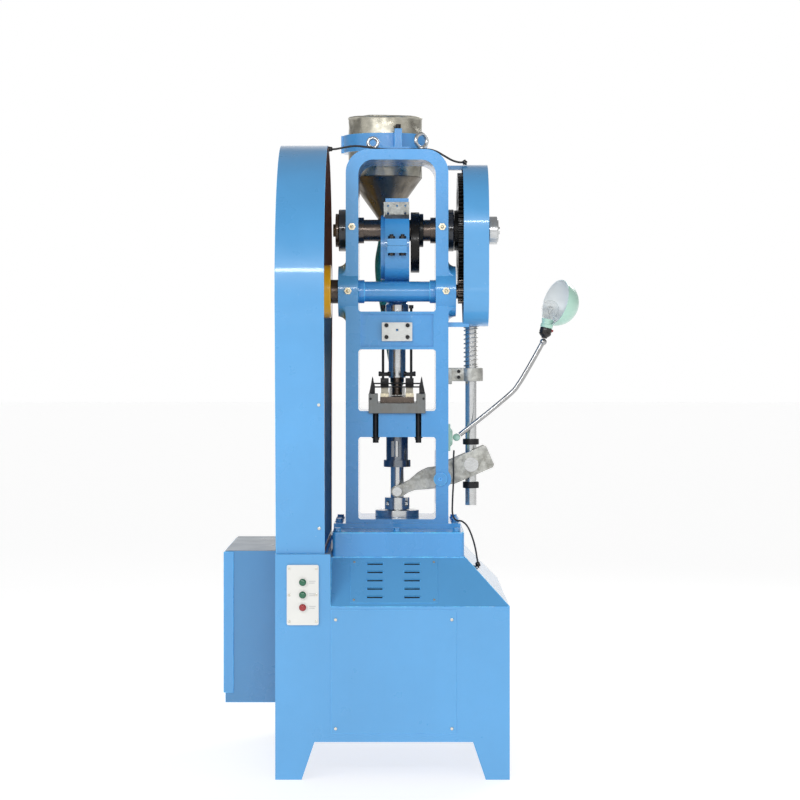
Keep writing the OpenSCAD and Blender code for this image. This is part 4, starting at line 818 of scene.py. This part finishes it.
# Near-black plates in the slots under the louvres' hoods, on the sloping front shoulder: painted shade
SLOPE = Matrix.Translation((0, -520 * MM, 564 * MM)) @ Matrix.Rotation(math.atan2(150, 136), 4, "X")
for column, x in enumerate((-98, 24)):
    for row in range(5):
        low = 34 + 34 * row
        slot = plate("louvre_shade_%d_%d" % (column, row), (x + 0.5, low + 0.3, 0.1),
                     (x + 50.5, low + 4.8, 2.2), 0.2, "press", "sheet_paint", SHADOW)
        slot.data.transform(SLOPE)

# Waisted nuts that clamp the hold-downs
nut = [(0, -21), (7, -21), (8.5, -19), (8.5, -14), (5.2, -8), (5.2, 8), (8.5, 14), (8.5, 19), (7, 21),
       (0, 21)]
for side in (-1, 1):
    name = "hold_nut_%s" % ("left" if side < 0 else "right")
    place = facing((side * 43, -72, 1320), (1, 0, 0))
    add_piece(name, lathe(name, nut, place, 28, None, None, 30), "press", "black_oxide")

# Cast fillets where the drive shaft's bosses grow out of the columns, cut off near the casting's front
COLUMN_FACE, FILLET_FRONT = 175, -158.5
for side in (-1, 1):
    flare = [(86.9, 26)]
    for degrees in range(90, -1, -15):
        t = math.radians(degrees)
        flare.append((87 + 20 * (1 - math.sin(t)), 1 + 24 * (1 - math.cos(t))))
    flare += [(107, 0), (86.9, 0)]
    name = "boss_fillet_%s" % ("left" if side < 0 else "right")
    place = facing((side * COLUMN_FACE, DRIVE_Y, DRIVE_Z), (side, 0, 0))
    fillet = lathe(name, flare, place, 96, None, None, 50)
    for vertex in fillet.vertices:
        vertex.co.y = max(vertex.co.y, FILLET_FRONT * MM)
    add_piece(name, fillet, "press", "cast_paint")

# Weld beads on the sheet metal and round the pedestal's foot
WELDS = [
    ("pedestal_weld_front", [(-214, -384.5, 714.5), (222, -384.5, 714.5)], 2.4, 5),
    ("pedestal_weld_back", [(-214, 384.5, 714.5), (222, 384.5, 714.5)], 2.4, 6),
    ("pedestal_weld_right", [(223.5, -372, 714.5), (223.5, 372, 714.5)], 2.4, 7),
    ("cover_weld_top", [(-397.5, -298, 730.5), (-397.5, 338, 730.5)], 2.0, 8),
    ("cover_weld_front", [(-397.5, -300.5, 222), (-397.5, -300.5, 729)], 2.0, 9),
    ("shoulder_weld_front", [(-216, -520.4, 564.4), (366, -520.4, 564.4)], 1.1, 11),
    ("shoulder_weld_right", [(227, -383, 713.6), (367.4, -519.4, 564.6)], 1.2, 12),
    ("column_weld_front", [(-216.6, -520, 566), (-216.6, -384.6, 714)], 1.6, 13),
]
for name, ends, radius, seed in WELDS:
    weld(name, ends, radius, "press", "sheet_paint", seed)

low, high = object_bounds()
